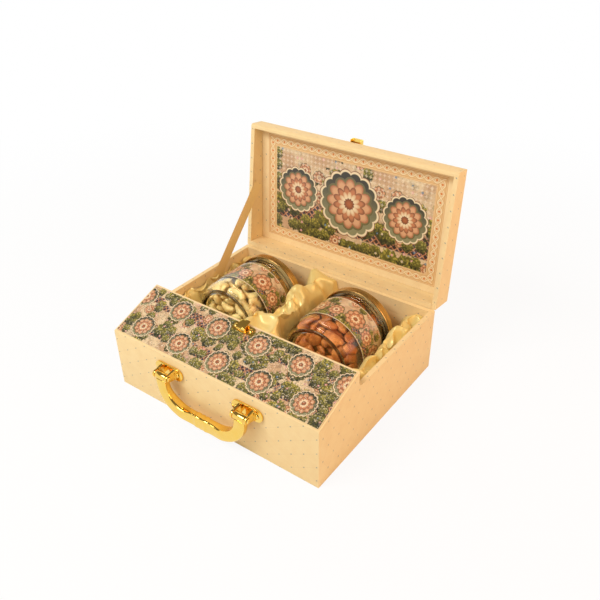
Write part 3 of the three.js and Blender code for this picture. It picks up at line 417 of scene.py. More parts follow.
def cover_in_paper(bm):
    """Joins what the cuts left flat, rounds the edges and lays the print."""
    bmesh.ops.dissolve_limit(bm, angle_limit=0.01, verts=bm.verts, edges=bm.edges)
    round_edges(bm, EDGE_ROUND)
    wrap_uv(bm)


def piece(bm, name, finish, body, replaces=(), smooth_under=40):
    """Makes the mesh an object at the origin and lets it ride on its body."""
    bmesh.ops.scale(bm, vec=(MM, MM, MM), verts=bm.verts)
    mesh = bpy.data.meshes.new(name)
    bm.to_mesh(mesh)
    bm.free()
    mesh.shade_smooth()
    mesh.set_sharp_from_angle(angle=math.radians(smooth_under))
    mesh.materials.append(finish)
    made = bpy.data.objects.new(name, mesh)
    scene.collection.objects.link(made)
    if body is not None:
        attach(made, body)
    if replaces:
        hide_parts(*replaces)
    print(name, len(mesh.polygons), "faces")
    return made


print("lid turned open by", round(math.degrees(LID_TURN.to_euler().x), 1), "degrees")

# %% [markdown]
# ## Dotted wrapping paper
#
# The boards are covered with matt cream paper. A small slanting grey-blue dot repeats in staggered rows, on
# a very faint trellis. The print is worked out from a UV map in metres, so each face carries it in its own
# direction: the strip round the front and back runs the other way than the pieces on the sides. Repeating a
# pattern is done by keeping only the fraction of a coordinate; two such lattices, half a step apart, make
# the staggered rows. Where an edge is rubbed, the paper's pale fibre shows.

# %% Dotted paper finish
DOT_PITCH, DOT_ROWS, DOT_CORE, DOT_RIM = 0.017, 0.0284, 0.0005, 0.00095
PAPER_TONE, DOT_TONE = tone("f5dca7"), tone("8d9490")
paper_group, w, given, gives = new_group(
    "dotted_paper",
    {"Vector": "vector", "Paper": "color", "Dot": "color"},
    {"Color": "color", "Height": "float"})
along, up, _ = w.split(given["Vector"])


def lattice_distance(shift):
    parts = []
    for value, pitch in ((along, DOT_PITCH), (up, DOT_ROWS)):
        parts.append(w.times(w.in_step(w.times_plus(value, 1 / pitch, shift)), pitch))
    long_way = w.times(w.plus(parts[0], parts[1]), 0.5)
    short_way = w.times(w.minus(parts[0], parts[1]), 0.9)
    return w.length(w.join(long_way, short_way))


dots = w.fade(w.least(lattice_distance(0.0), lattice_distance(0.5)), DOT_CORE, DOT_RIM, 1.0, 0.0)
lines = []
for lean in (1, -1):
    slant = w.times_plus(up, lean / DOT_ROWS, w.times(along, 1 / DOT_PITCH))
    lines.append(w.absolute(w.in_step(slant)))
trellis = w.fade(w.most(lines[0], lines[1]), 0.47, 0.495, 0.0, 1.0)
mottle = w.cloud(given["Vector"], 90.0)
aged = w.mix(w.fade(mottle, 0.35, 0.7, 0.0, 0.16), given["Paper"], tone("e2b878"))
veiled = w.mix(w.times(trellis, 0.14), aged, tone("d9b48a"))
fleck = w.times(dots, w.fade(mottle, 0.3, 0.6, 0.45, 0.8))
w.feed(gives["Color"], w.mix(fleck, veiled, given["Dot"]))
w.feed(gives["Height"], w.cloud(given["Vector"], 2600.0, 2.0))

paper_finish, w, sockets = new_finish("dotted_cream_paper", Roughness=0.62, Specular_IOR_Level=0.3)
printed = w.group(paper_group, {"Vector": w.uv(), "Paper": PAPER_TONE, "Dot": DOT_TONE})
rubbed = w.node("ShaderNodeAttribute", attribute_name="rubbed").outputs["Fac"]
scuffed = w.times(rubbed, w.fade(w.cloud(w.uv(), 260.0), 0.35, 0.65, 0.2, 0.75))
w.feed(sockets["Base Color"], w.mix(scuffed, printed["Color"], tone("fdf1d8")))
w.feed(sockets["Normal"], w.bump(printed["Height"], 0.12, 0.0002))

# %% [markdown]
# ## Case
#
# The real case is five boards glued together and covered in one go, so its outside has no joints and its
# edges are softly rounded. It is drawn the way it looks: one prism with the side's outline, opened behind
# the deck, with walls pulled down to the base board. A bevel on every sharp edge gives the paper's
# rounding.

# %% Case
WELL_FLOOR = 4.0
case_outline = [(FRONT, 0), (BACK, 0), (BACK, RIM_HEIGHT)]
case_outline += arc((DECK_BACK + NOTCH_RADIUS, RIM_HEIGHT + NOTCH_RADIUS), NOTCH_RADIUS, -90, -180, 8)
case_outline += [(DECK_BACK, DECK_TOP), (FRONT, FRONT_HEIGHT)]

case_bm = bmesh.new()
pull(case_bm, [(-HALF_WIDTH, y, z) for y, z in case_outline], (2 * HALF_WIDTH, 0, 0))
for side in (-INNER_HALF, INNER_HALF):
    slice_at(case_bm, (side, 0, 0), (1, 0, 0))
slice_at(case_bm, (0, BACK - BOARD, 0), (0, 1, 0))


def covers_well(middle):
    return (abs(middle.x) < INNER_HALF and DECK_BACK + 0.01 < middle.y < BACK - BOARD
            and RIM_HEIGHT - 1 < middle.z < RIM_HEIGHT + NOTCH_RADIUS)


hollow(case_bm, covers_well, lambda point: WELL_FLOOR)
cover_in_paper(case_bm)
piece(case_bm, "case_wrap", paper_finish, "case", (
    "case_base", "case_front", "case_back", "case_left", "case_right", "deck_board", "deck_riser"))

# %% [markdown]
# ## Lid
#
# The lid is a wedge-shaped tray: 30 mm deep at the hinge and 19 mm at the front. It is drawn closed, opened
# from its rim, and only then turned back on the hinge line, so its numbers stay easy to read.

# %% Lid
LID_CORNER = 2.5


def lid_height(y):
    return LID_REAR + y * math.tan(LID_SLOPE)


lid_outline = [(0, LID_RIM), (0, LID_REAR), (-LID_LENGTH, LID_FRONT)]
lid_outline += arc((-LID_LENGTH + LID_CORNER, LID_RIM + LID_CORNER), LID_CORNER, 180, 270, 4)
lid_bm = bmesh.new()
pull(lid_bm, [(-HALF_WIDTH, y, z) for y, z in lid_outline], (2 * HALF_WIDTH, 0, 0))
for side in (-INNER_HALF, INNER_HALF):
    slice_at(lid_bm, (side, 0, 0), (1, 0, 0))
slice_at(lid_bm, (0, -BOARD, 0), (0, 1, 0))
slice_at(lid_bm, (0, -LID_LENGTH + BOARD, 0), (0, 1, 0))


def covers_tray(middle):
    between_walls = abs(middle.x) < INNER_HALF and -LID_LENGTH + BOARD < middle.y < -BOARD
    return between_walls and middle.z < LID_RIM + 0.01


hollow(lid_bm, covers_tray, lambda point: lid_height(point.y) - LID_CARD_DROP + 0.2)
cover_in_paper(lid_bm)
bmesh.ops.transform(lid_bm, matrix=LID_PLACE, verts=lid_bm.verts)
piece(lid_bm, "lid_wrap", paper_finish, "lid", (
    "lid_top", "lid_front", "lid_back", "lid_left", "lid_right"))

# %% [markdown]
# ## Copies of CAD nodes with softened edges
#
# Small fittings already have the right shape in the CAD model, but their edges are perfectly sharp, and
# sharp edges catch no light. A copy is merged, its flat triangles are joined, and a fine bevel is cut on
# every sharp edge. The same step serves the hinge papers, the wadding and all the gold fittings.

# %% Softened copies
def soft_copy(node, finish, body, width, segments=2, uv_turn=Matrix.Identity(4), axes=PAPER_AXES,
              reshape=None):
    bm = bmesh.new()
    bm.from_mesh(nodes[node].data)
    bmesh.ops.scale(bm, vec=(1 / MM, 1 / MM, 1 / MM), verts=bm.verts)
    bmesh.ops.remove_doubles(bm, verts=bm.verts, dist=0.002)
    bmesh.ops.dissolve_limit(bm, angle_limit=0.02, verts=bm.verts, edges=bm.edges)
    for vert in bm.verts if reshape else ():
        vert.co = reshape(vert.co)
    if width:
        round_edges(bm, width, segments, 38)
    for stale in list(bm.loops.layers.uv):
        bm.loops.layers.uv.remove(stale)
    wrap_uv(bm, uv_turn, axes)
    return piece(bm, node + "_dressed", finish, body, (node,))


soft_copy("hinge_paper_case", paper_finish, "case", 0)
soft_copy("hinge_paper_lid", paper_finish, "lid", 0, uv_turn=LID_TURN)

# %% [markdown]
# ## Spine paper
#
# Outside, one strip of paper is pasted over the back of the case and the back of the lid and is the hinge
# itself. With the lid open it lies folded in the corner between the two. Its section is drawn in the open
# state, a little clear of both boards.

# %% Spine paper
SPINE_REACH, SPINE_CLEAR, SPINE_PAPER, SPINE_INSET, FOLD_HALF = 11.0, 0.15, 0.25, 1.2, 1.1
spine_low = Vector((0, BACK + SPINE_CLEAR, HINGE_HEIGHT - SPINE_REACH))
fold_start = Vector((0, BACK + SPINE_CLEAR, HINGE_HEIGHT - FOLD_HALF))
fold_end = LID_PLACE @ Vector((0, SPINE_CLEAR, FOLD_HALF))
spine_high = LID_PLACE @ Vector((0, SPINE_CLEAR, SPINE_REACH))
fold_middle = (fold_start + fold_end) / 2 + Vector((0, -0.1, 0.1))
spine_route = [spine_low, fold_start, fold_start.lerp(fold_middle, 0.5), fold_middle,
               fold_middle.lerp(fold_end, 0.5), fold_end, spine_high]
spine_bm = bmesh.new()
spine_line = [spine_bm.verts.new(point - Vector((HALF_WIDTH - SPINE_INSET, 0, 0))) for point in spine_route]
spine_edges = [spine_bm.edges.new(pair) for pair in zip(spine_line, spine_line[1:])]
far_side = made_verts(bmesh.ops.extrude_edge_only(spine_bm, edges=spine_edges))
bmesh.ops.translate(spine_bm, vec=(2 * HALF_WIDTH - 2 * SPINE_INSET, 0, 0), verts=far_side)
bmesh.ops.recalc_face_normals(spine_bm, faces=spine_bm.faces)
bmesh.ops.solidify(spine_bm, geom=spine_bm.faces[:], thickness=SPINE_PAPER)
bmesh.ops.recalc_face_normals(spine_bm, faces=spine_bm.faces)
wrap_uv(spine_bm)
spine_paper = piece(spine_bm, "spine_paper", paper_finish, None, ())
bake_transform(spine_paper)

# %% [markdown]
# ## Gold plate
#
# The handle, brackets, catch and screws are cast or pressed metal with a bright yellow plating. Plating
# mirrors its surroundings, so the finish is a metal with low roughness. Faint clouds in its colour and
# roughness keep large faces from looking like plastic.

# %% Gold plate finish
gold_finish, w, sockets = new_finish("bright_gold_plate", Metallic=1.0)
spot = w.place()
cloudy = w.cloud(spot, 120.0)
w.feed(sockets["Base Color"], w.mix(cloudy, tone("f5c95a"), tone("f9d678")))
w.feed(sockets["Roughness"], w.fade(cloudy, 0.3, 0.7, 0.06, 0.13))
w.feed(sockets["Normal"], w.bump(w.cloud(spot, 90.0, 1.0), 0.012, 0.0003))

for bevel, body, fittings in (
        (0.35, "case", ("handle_bracket_left", "handle_bracket_right")),
        (0.35, "case", ("handle_pin_left", "handle_pin_right")),
        (0.15, "case", ("bracket_screw_1", "bracket_screw_2", "bracket_screw_3", "bracket_screw_4")),
        (0.12, "case", ("catch_base", "catch_pin", "catch_screw_1", "catch_screw_2")),
        (0.15, "lid", ("catch_hood", "hood_screw_1", "hood_screw_2")),
        (0.2, "catch", ("catch_lever",))):
    for fitting in fittings:
        soft_copy(fitting, gold_finish, body, bevel)

# %% [markdown]
# ## Handle
#
# The handle is a casting: a rounded-square bar bent into a squared arch, deep at the shoulders, tall and
# slim in the middle, with three ring beads. A ring of vertices is extruded station by station along the
# arch, and each new ring is scaled and turned to its place. The squared ring gives the casting its two
# faces and the line between them.

# %% Handle
PIVOT_HALF, PIVOT_Y, PIVOT_Z = 50.5, -120.0, 53.5
EYE_RADIUS, EYE_LENGTH = 4.2, 13.0
GRIP_DROP, GRIP_SQUARENESS = 38.5, 0.77
BEAD_COUNT, BEAD_PITCH, BEAD_HEIGHT = 3, 5.6, 0.7
LEG_WIDE, WAIST_WIDE, WAIST_RAISED = 12.8, 14.6, 1.7
LEG_DEEP, SHOULDER_DEEP, WAIST_DEEP = 8.6, 11.2, 8.4
SHOULDER_SPAN, WAIST_SPAN, BEAD_FULLNESS = (0.15, 0.85), (1.08, 1.45), 0.7
RING_POINTS, RING_SQUARENESS, STATIONS = 40, 0.46, 140


def softly(value, start, end):
    """A soft step from 0 before start to 1 after end."""
    t = min(max((value - start) / (end - start), 0.0), 1.0)
    return t * t * (3 - 2 * t)


def power(value, exponent):
    """A power that keeps the sign."""
    return math.copysign(abs(value) ** exponent, value)


def grip_spine(t):
    drop = (GRIP_DROP - EYE_RADIUS) * power(math.sin(t), GRIP_SQUARENESS)
    return Vector((-PIVOT_HALF * power(math.cos(t), GRIP_SQUARENESS), 0, -EYE_RADIUS / 2 - drop))


def grip_size(t):
    """Half width in the arch's plane, half depth across it, and how far the middle is raised."""
    from_end = min(t, math.pi - t)
    shoulder = softly(from_end, *SHOULDER_SPAN)
    waist = softly(from_end, *WAIST_SPAN)
    x = grip_spine(t).x
    bead = 0.0
    if abs(x) < BEAD_COUNT * BEAD_PITCH / 2:
        bead = BEAD_HEIGHT * abs(math.cos(x / BEAD_PITCH * math.pi)) ** BEAD_FULLNESS
    wide = LEG_WIDE + (WAIST_WIDE - LEG_WIDE) * waist
    deep = (LEG_DEEP + (SHOULDER_DEEP - LEG_DEEP) * shoulder) * (1 - waist) + WAIST_DEEP * waist
    return (wide + bead) / 2, deep / 2 + bead, WAIST_RAISED * waist + bead / 2


grip_bm = bmesh.new()
bmesh.ops.create_circle(grip_bm, segments=RING_POINTS, radius=1, cap_ends=True)
ring = sorted(grip_bm.verts, key=lambda v: math.atan2(v.co.y, v.co.x))


def set_ring(verts, t):
    middle = grip_spine(t)
    run = (grip_spine(min(t + 0.01, math.pi)) - grip_spine(max(t - 0.01, 0))).normalized()
    outward = Vector((-run.z, 0, run.x))
    wide, deep, raised = grip_size(t)
    middle += outward * raised
    for k, vert in enumerate(verts):
        angle = 2 * math.pi * k / len(verts)
        out = wide * power(math.cos(angle), RING_SQUARENESS)
        vert.co = middle + outward * out + Vector((0, deep * power(math.sin(angle), RING_SQUARENESS), 0))


set_ring(ring, 0.0)
for station in range(1, STATIONS + 1):
    last = set(ring)
    edges = list({e for vert in ring for e in vert.link_edges if e.other_vert(vert) in last})
    fresh = made_verts(bmesh.ops.extrude_edge_only(grip_bm, edges=edges))
    ring = [min(fresh, key=lambda v, old=old: (v.co - old.co).length) for old in ring]
    set_ring(ring, math.pi * station / STATIONS)
bmesh.ops.contextual_create(grip_bm, geom=ring)
for x in (-PIVOT_HALF, PIVOT_HALF):
    lie = Matrix.Translation((x, 0, 0)) @ Matrix.Rotation(math.pi / 2, 4, "Y")
    bmesh.ops.create_cone(
        grip_bm, cap_ends=True, segments=RING_POINTS, radius1=EYE_RADIUS, radius2=EYE_RADIUS,
        depth=EYE_LENGTH, matrix=lie)
bmesh.ops.recalc_face_normals(grip_bm, faces=grip_bm.faces)
round_edges(grip_bm, 0.5, 2, 60)
bmesh.ops.translate(grip_bm, vec=(0, PIVOT_Y, PIVOT_Z), verts=grip_bm.verts)
piece(grip_bm, "handle_cast", gold_finish, "handle", ("handle_grip",))

# %% [markdown]
# ## Printing blocks: leaves, blossoms and rosettes
#
# The case carries three prints: a picture in the lid, a glittering deck and two jar labels. They are all
# built from a few printing blocks. A Voronoi texture scatters cells over the card, and each cell turns its
# own coordinates by a random angle. A leaf or a blossom is then a simple formula in those coordinates. The
# leaves differ in size and tone, so layers of them read as foliage.

# %% Printing blocks
def own_cell(w, given, randomness):
    """The place within a scattered cell, in cell sizes, and the cell's three random values."""
    cell = w.cells(given["Vector"], given["Scale"], randomness)
    offset = w.vector("SUBTRACT", given["Vector"], cell["Position"])
    sized = w.node("ShaderNodeVectorMath", {0: offset, "Scale": given["Scale"]}, operation="SCALE").outputs[0]
    return sized, w.shares(cell["Color"])


scatter_group, w, given, gives = new_group(
    "scattered_cells", {"Vector": "vector", "Scale": "float"},
    {"Local": "vector", "Pick": "float", "Shade": "float"})
sized, picks = own_cell(w, given, 0.85)
turned = w.node("ShaderNodeVectorRotate", {
    "Vector": sized, "Angle": w.times(picks[0], 2 * math.pi)}, rotation_type="Z_AXIS").outputs[0]
w.feed(gives["Local"], turned)
w.feed(gives["Pick"], picks[1])
w.feed(gives["Shade"], picks[2])

leaf_group, w, given, gives = new_group(
    "leaves", {"Vector": "vector", "Scale": "float", "Width": "float"}, {"Mask": "float", "Shade": "float"})
found = w.group(scatter_group, {"Vector": given["Vector"], "Scale": given["Scale"]})
across, along, _ = w.split(found["Local"])
side = w.absolute(across)
run = w.over(along, 0.56)
edge = w.times(given["Width"], w.minus(1.0, w.times(run, run)))
inside = w.minus(edge, side)
w.feed(gives["Mask"], w.fade(inside, -0.02, 0.05))
ribbed = w.fade(side, 0.0, 0.06, 0.25, 0.0)
w.feed(gives["Shade"], w.plus(ribbed, w.times_plus(found["Shade"], 0.6, w.fade(inside, 0, 0.2, 0, 0.3))))

blossom_group, w, given, gives = new_group(
    "blossoms", {"Vector": "vector", "Scale": "float", "Share": "float"}, {"Mask": "float", "Heart": "float"})
found = w.group(scatter_group, {"Vector": given["Vector"], "Scale": given["Scale"]})
across, along, _ = w.split(found["Local"])
reach = w.length(found["Local"])
lobes = w.math("COSINE", w.times(w.math("ARCTAN2", along, across), 5.0))
petals = w.minus(w.times_plus(lobes, 0.09, 0.27), reach)
chosen = w.math("LESS_THAN", found["Pick"], given["Share"])
w.feed(gives["Mask"], w.times(w.fade(petals, -0.02, 0.05), chosen))
w.feed(gives["Heart"], w.times(w.fade(reach, 0.07, 0.12, 1.0, 0.0), chosen))

rosette_group, w, given, gives = new_group(
    "rosette", {"Vector": "vector", "Radius": "float", "Petals": "float"},
    {"Color": "color", "Mask": "float", "Height": "float"})
across, along, _ = w.split(given["Vector"])
reach = w.over(w.length(given["Vector"]), given["Radius"])
angle = w.math("ARCTAN2", along, across)


def petal_ring(outer, depth, shift):
    """How far inside a ring of petals a point is."""
    wave = w.math("COSINE", w.times_plus(angle, given["Petals"], shift))
    scallop = w.math("POWER", w.times_plus(wave, 0.5, 0.5), 0.4)
    return w.minus(w.times_plus(scallop, depth, outer - depth), reach)


tones = [
    (petal_ring(1.0, 0.12, 0.0), "5f5a3c", "8b8450"),
    (petal_ring(0.93, 0.2, 0.0), "a85a38", "e0ac80"),
    (petal_ring(0.68, 0.18, math.pi), "7a4a32", "c98258"),
    (petal_ring(0.46, 0.14, 0.0), "d9a878", "f4dcb4"),
    (petal_ring(0.22, 0.05, math.pi), "6b3d28", "b5683c"),
]
grain = w.cloud(given["Vector"], 900.0)
colour = tone("e8c9a0")
height = 0.0
for inside, deep, light in tones:
    body = w.mix(w.fade(w.times_plus(grain, 0.12, inside), 0.02, 0.24), tone(deep), tone(light))
    colour = w.mix(w.fade(inside, -0.004, 0.008), colour, body)
    height = w.plus(height, w.fade(inside, 0.0, 0.08))
w.feed(gives["Color"], colour)
w.feed(gives["Mask"], w.fade(tones[0][0], -0.004, 0.008))
w.feed(gives["Height"], w.times(height, 0.2))

# %% [markdown]
# ## Scalloped medallion
#
# In the lid's picture and on the deck the large rosettes stand in medallions: a dark ground, light below,
# inside a scalloped cream rim. The scallops are half waves of the angle round the middle, so one formula
# gives a ring of equal lobes with sharp points between them.

# %% Scalloped medallion
medallion_group, w, given, gives = new_group(
    "medallion", {"Vector": "vector", "Radius": "float", "Petals": "float"},
    {"Color": "color", "Mask": "float", "Height": "float"})
across, along, _ = w.split(given["Vector"])
reach = w.over(w.length(given["Vector"]), given["Radius"])
lobe = w.absolute(w.math("SINE", w.times(w.math("ARCTAN2", along, across), 8.0)))
inside = w.minus(w.times_plus(w.math("POWER", lobe, 0.7), 0.09, 0.91), reach)
tall = w.over(along, given["Radius"])
colour = w.mix(w.fade(tall, -0.8, 0.8), tone("918f68"), tone("3b382c"))
colour = w.mix(w.fade(inside, 0.085, 0.1), tone("f2dfb8"), colour)
colour = w.mix(w.fade(inside, 0.02, 0.035), tone("8a5233"), colour)
rosette = w.group(rosette_group, {
    "Vector": given["Vector"], "Radius": w.times(given["Radius"], 0.78), "Petals": given["Petals"]})
w.feed(gives["Color"], w.mix(rosette["Mask"], colour, rosette["Color"]))
w.feed(gives["Mask"], w.fade(inside, 0.0, 0.01))
w.feed(gives["Height"], w.times_plus(rosette["Mask"], rosette["Height"], w.fade(inside, 0.08, 0.1, 0.4, 0.1)))

# %% [markdown]
# ## Garden ground
#
# Under the rosettes lies a garden ground: sand and rose clouds, a lattice fence, scattered flowers, round
# shrubs that are dark below and lit above, and a few blossoms. It is one group with a size and a share for
# each kind, so that the lid's picture, the deck and the labels can each take it at their own scale.

# %% Garden ground
shrub_group, w, given, gives = new_group(
    "shrubs", {"Vector": "vector", "Scale": "float", "Share": "float"},
    {"Color": "color", "Mask": "float", "Height": "float"})
sized, picks = own_cell(w, given, 0.75)
_, tall, _ = w.split(sized)
ragged = w.cloud(given["Vector"], w.times(given["Scale"], 7.0), 3.0)
reach = w.times_plus(w.minus(ragged, 0.5), 0.5, w.length(sized))
chosen = w.math("LESS_THAN", picks[0], given["Share"])
mask = w.times(w.fade(reach, 0.42, 0.46, 1.0, 0.0), chosen)
leaf = w.group(leaf_group, {
    "Vector": given["Vector"], "Scale": w.times(given["Scale"], 5.5), "Width": 0.26})
lit = w.plus(w.times_plus(tall, 0.9, 0.45), w.times(w.minus(ragged, 0.5), 1.4))
colour = w.mix(w.fade(lit, 0.1, 0.55), tone("2b2f18"), tone("6f6c2e"))
lit_leaf = w.mix(picks[1], tone("cdb84c"), tone("aaa252"))
colour = w.mix(w.times(leaf["Mask"], w.fade(lit, 0.2, 0.75, 0.12, 0.95)), colour, lit_leaf)
w.feed(gives["Color"], colour)
w.feed(gives["Mask"], mask)
w.feed(gives["Height"], w.times(mask, w.times_plus(leaf["Mask"], 0.3, 0.5)))

fence_group, w, given, gives = new_group(
    "lattice_fence", {"Vector": "vector", "Scale": "float"}, {"Color": "color", "Height": "float"})
across, along, _ = w.split(given["Vector"])
folded = []
for value in (across, along):
    folded.append(w.absolute(w.in_step(w.times(value, given["Scale"]))))
slat = w.absolute(w.minus(w.plus(folded[0], folded[1]), 0.5))
wood = w.fade(slat, 0.1, 0.16, 1.0, 0.0)
worn = w.cloud(given["Vector"], w.times(given["Scale"], 1.3), 3.0)
opening = w.mix(w.fade(worn, 0.4, 0.6), tone("2c2320"), tone("4f4452"))
plank = w.mix(w.fade(worn, 0.35, 0.65), tone("9c5a38"), tone("dda67c"))
w.feed(gives["Color"], w.mix(wood, opening, plank))
w.feed(gives["Height"], w.times(wood, 0.4))

garden_group, w, given, gives = new_group(
    "garden_ground",
    {"Vector": "vector", "Scale": "float", "Fence": "float", "Shrubs": "float", "Rosettes": "float"},
    {"Color": "color", "Height": "float"})
ground = given["Vector"]
size = given["Scale"]
broad = w.cloud(ground, w.times(size, 0.8), 2.0)
fine = w.cloud(ground, w.times(size, 12.0), 4.0)
colour = w.mix(w.fade(broad, 0.38, 0.62), tone("cfa880"), tone("ead2a8"))
colour = w.mix(w.fade(fine, 0.5, 0.68, 0.0, 0.38), colour, tone("8d6a56"))
height = w.times(fine, 0.2)
fence = w.group(fence_group, {"Vector": ground, "Scale": w.times(size, 3.6)})
colour = w.mix(given["Fence"], colour, fence["Color"])
height = w.times_plus(given["Fence"], fence["Height"], height)
found = w.group(scatter_group, {"Vector": ground, "Scale": w.times(size, 1.15)})
flower = w.group(rosette_group, {"Vector": found["Local"], "Radius": 0.36, "Petals": 9.0})
shown = w.times(flower["Mask"], w.math("LESS_THAN", found["Pick"], given["Rosettes"]))
colour = w.mix(shown, colour, flower["Color"])
height = w.times_plus(shown, flower["Height"], height)
for step, zoom in enumerate((0.95, 1.6)):
    shifted = w.vector("ADD", ground, (0.37 + step, 0.19 * step, 0))
    shrub = w.group(shrub_group, {
        "Vector": shifted, "Scale": w.times(size, zoom), "Share": given["Shrubs"]})
    colour = w.mix(shrub["Mask"], colour, shrub["Color"])
    height = w.plus(height, shrub["Height"])
blooms = ((5.0, 0.05, "e6a0a4", "f6e3b0"), (6.0, 0.02, "3f86b4", "d8c27a"), (5.5, 0.05, "f2e2c0", "c98a3c"))
for step, (zoom, share, petal, heart) in enumerate(blooms):
    shifted = w.vector("ADD", ground, (0.11, 0.53 + step, 0))
    bloom = w.group(blossom_group, {"Vector": shifted, "Scale": w.times(size, zoom), "Share": share})
    colour = w.mix(bloom["Mask"], colour, w.mix(bloom["Heart"], tone(petal), tone(heart)))
    height = w.times_plus(bloom["Mask"], 0.3, height)
dusk = w.cloud(ground, w.times(size, 1.7), 3.0)
w.feed(gives["Color"], w.mix(w.fade(dusk, 0.52, 0.68, 0.0, 0.35), colour, tone("4b4441"), "MULTIPLY"))
w.feed(gives["Height"], height)
print("node groups", [group.name for group in bpy.data.node_groups])

# %% [markdown]
# ## Lid picture
#
# The picture card fills the lid's floor. A dotted paper margin runs round a border of interlaced strands
# with a diamond in every loop, which is a traditional frame, and inside it is a floral panel: three
# rosettes on the garden ground. All of it is measured from the card's middle: the larger of the two
# overshoots past the picture's edge gives the place across the border, so the corners are mitred like a
# real frame.

# %% Lid picture border
PICTURE_HALF, PICTURE_RISE, PICTURE_MIDDLE, BORDER = 0.1025, 0.0505, 0.07675, 0.0125
STRAND_PITCH = 0.0097
STRAND_SWING, STRAND_HALF = 0.0029, 0.0007


def card_place(w):
    """Across and up on the lid's card, from the picture's middle."""
    u, v, _ = w.split(w.uv())
    return u, w.minus(w.times(v, -1.0), PICTURE_MIDDLE)


border_finish, w, sockets = new_finish("lid_border_print", Roughness=0.5, Specular_IOR_Level=0.35)
u, rise = card_place(w)
out_u = w.minus(w.absolute(u), PICTURE_HALF)
out_v = w.minus(w.absolute(rise), PICTURE_RISE)
beyond = w.most(out_u, out_v)
on_side = w.math("GREATER_THAN", out_u, out_v)
travel = w.plus(w.times(on_side, rise), w.times(w.minus(1.0, on_side), u))
middle = w.minus(beyond, BORDER / 2)
swing = w.times(w.math("SINE", w.times(travel, math.pi / STRAND_PITCH)), STRAND_SWING)
strand = w.least(w.absolute(w.minus(middle, swing)),
                w.absolute(w.plus(middle, swing)))
loop_cell = w.in_step(w.over(travel, STRAND_PITCH))
lozenge = w.plus(w.times(w.absolute(loop_cell), STRAND_PITCH), w.absolute(middle))
rails = 0.0
for place in (0.0006, 0.0019, 0.0106, 0.0119):
    rail = w.fade(w.absolute(w.minus(beyond, place)), 0.0002, 0.0004, 1.0, 0.0)
    rails = w.most(rails, rail)
inner_band = w.fade(w.absolute(middle), 0.0040, 0.0044, 1.0, 0.0)
band = w.mix(w.times(inner_band, 0.55), tone("f6d9a4"), tone("dfae6e"))
band = w.mix(w.fade(lozenge, 0.0027, 0.0031, 0.9, 0.0), band, tone("f8e2b6"))
band = w.mix(w.fade(strand, STRAND_HALF + 0.0003, STRAND_HALF + 0.0006, 0.7, 0.0), band, tone("c07a3e"))
band = w.mix(w.fade(strand, STRAND_HALF, STRAND_HALF + 0.0002, 1.0, 0.0), band, tone("f8e2b6"))
band = w.mix(w.times(rails, 0.7), band, tone("cd8f52"))
band = w.mix(w.fade(lozenge, 0.0014, 0.0019, 0.95, 0.0), band, tone("dc8236"))
margin = w.group(paper_group, {"Vector": w.uv(), "Paper": tone("fae2b2"), "Dot": DOT_TONE})
w.feed(sockets["Base Color"], w.mix(w.math("LESS_THAN", beyond, BORDER), margin["Color"], band))
w.feed(sockets["Normal"], w.bump(margin["Height"], 0.12, 0.0002))

# %% Lid picture panel
FLORET_PITCH = 0.0056
picture_finish, w, sockets = new_finish(
    "lid_picture_print", Roughness=0.36, Coat_Weight=0.25, Coat_Roughness=0.2)
u, rise = card_place(w)
spot = w.join(u, rise)
low_ground = w.fade(rise, -0.012, -0.002, 1.0, 0.0)
garden = w.group(garden_group, {
    "Vector": spot, "Scale": 36.0, "Fence": w.times(low_ground, w.fade(rise, -0.036, -0.034)),
    "Shrubs": w.fade(rise, -0.05, 0.05, 0.95, 0.15), "Rosettes": 0.35})
floret_parts = [w.in_step(w.times(value, 1 / FLORET_PITCH)) for value in (u, rise)]
floret_reach = w.length(w.join(*floret_parts))
four = w.math("COSINE", w.times(w.math("ARCTAN2", *floret_parts), 4.0))
floret = w.fade(w.minus(w.times_plus(four, 0.13, 0.24), floret_reach), 0.0, 0.06)
panel = w.mix(w.times(floret, w.fade(rise, 0.0, 0.015, 0.0, 0.6)), garden["Color"], tone("f6e8d0"))
on_side = w.math("GREATER_THAN", w.absolute(u), 0.0415)
side_u = w.minus(w.absolute(u), 0.071)
near_u = w.plus(w.times(on_side, side_u), w.times(w.minus(1.0, on_side), u))
here = w.join(near_u, w.minus(rise, 0.004))
radius = w.times_plus(on_side, -0.0125, 0.041)
medallion = w.group(medallion_group, {"Vector": here, "Radius": radius, "Petals": 12.0})
w.feed(sockets["Base Color"], w.mix(medallion["Mask"], panel, medallion["Color"]))
w.feed(sockets["Normal"], w.bump(w.plus(garden["Height"], medallion["Height"]), 0.25, 0.0006))

# %% Lid card
lid_card = soft_copy("lid_picture_card", border_finish, "lid", 0, uv_turn=LID_PLACE,
                     axes=CARD_AXES)
lid_card.data.materials.append(picture_finish)
card_bm = bmesh.new()
card_bm.from_mesh(lid_card.data)
across_lid = LID_PLACE.to_3x3() @ Vector((0, 1, 0))
middle_of_picture = (LID_PLACE @ Vector((0, -PICTURE_MIDDLE / MM, 0))) * MM
for sign in (-1, 1):
    slice_at(card_bm, (sign * PICTURE_HALF, 0, 0), (1, 0, 0))
    slice_at(card_bm, middle_of_picture + across_lid * PICTURE_RISE * sign, across_lid)
for face in card_bm.faces:
    offset = face.calc_center_median() - middle_of_picture
    if abs(offset.x) < PICTURE_HALF and abs(offset.dot(across_lid)) < PICTURE_RISE:
        face.material_index = 1
card_bm.to_mesh(lid_card.data)
card_bm.free()
print("lid card faces", len(lid_card.data.polygons))
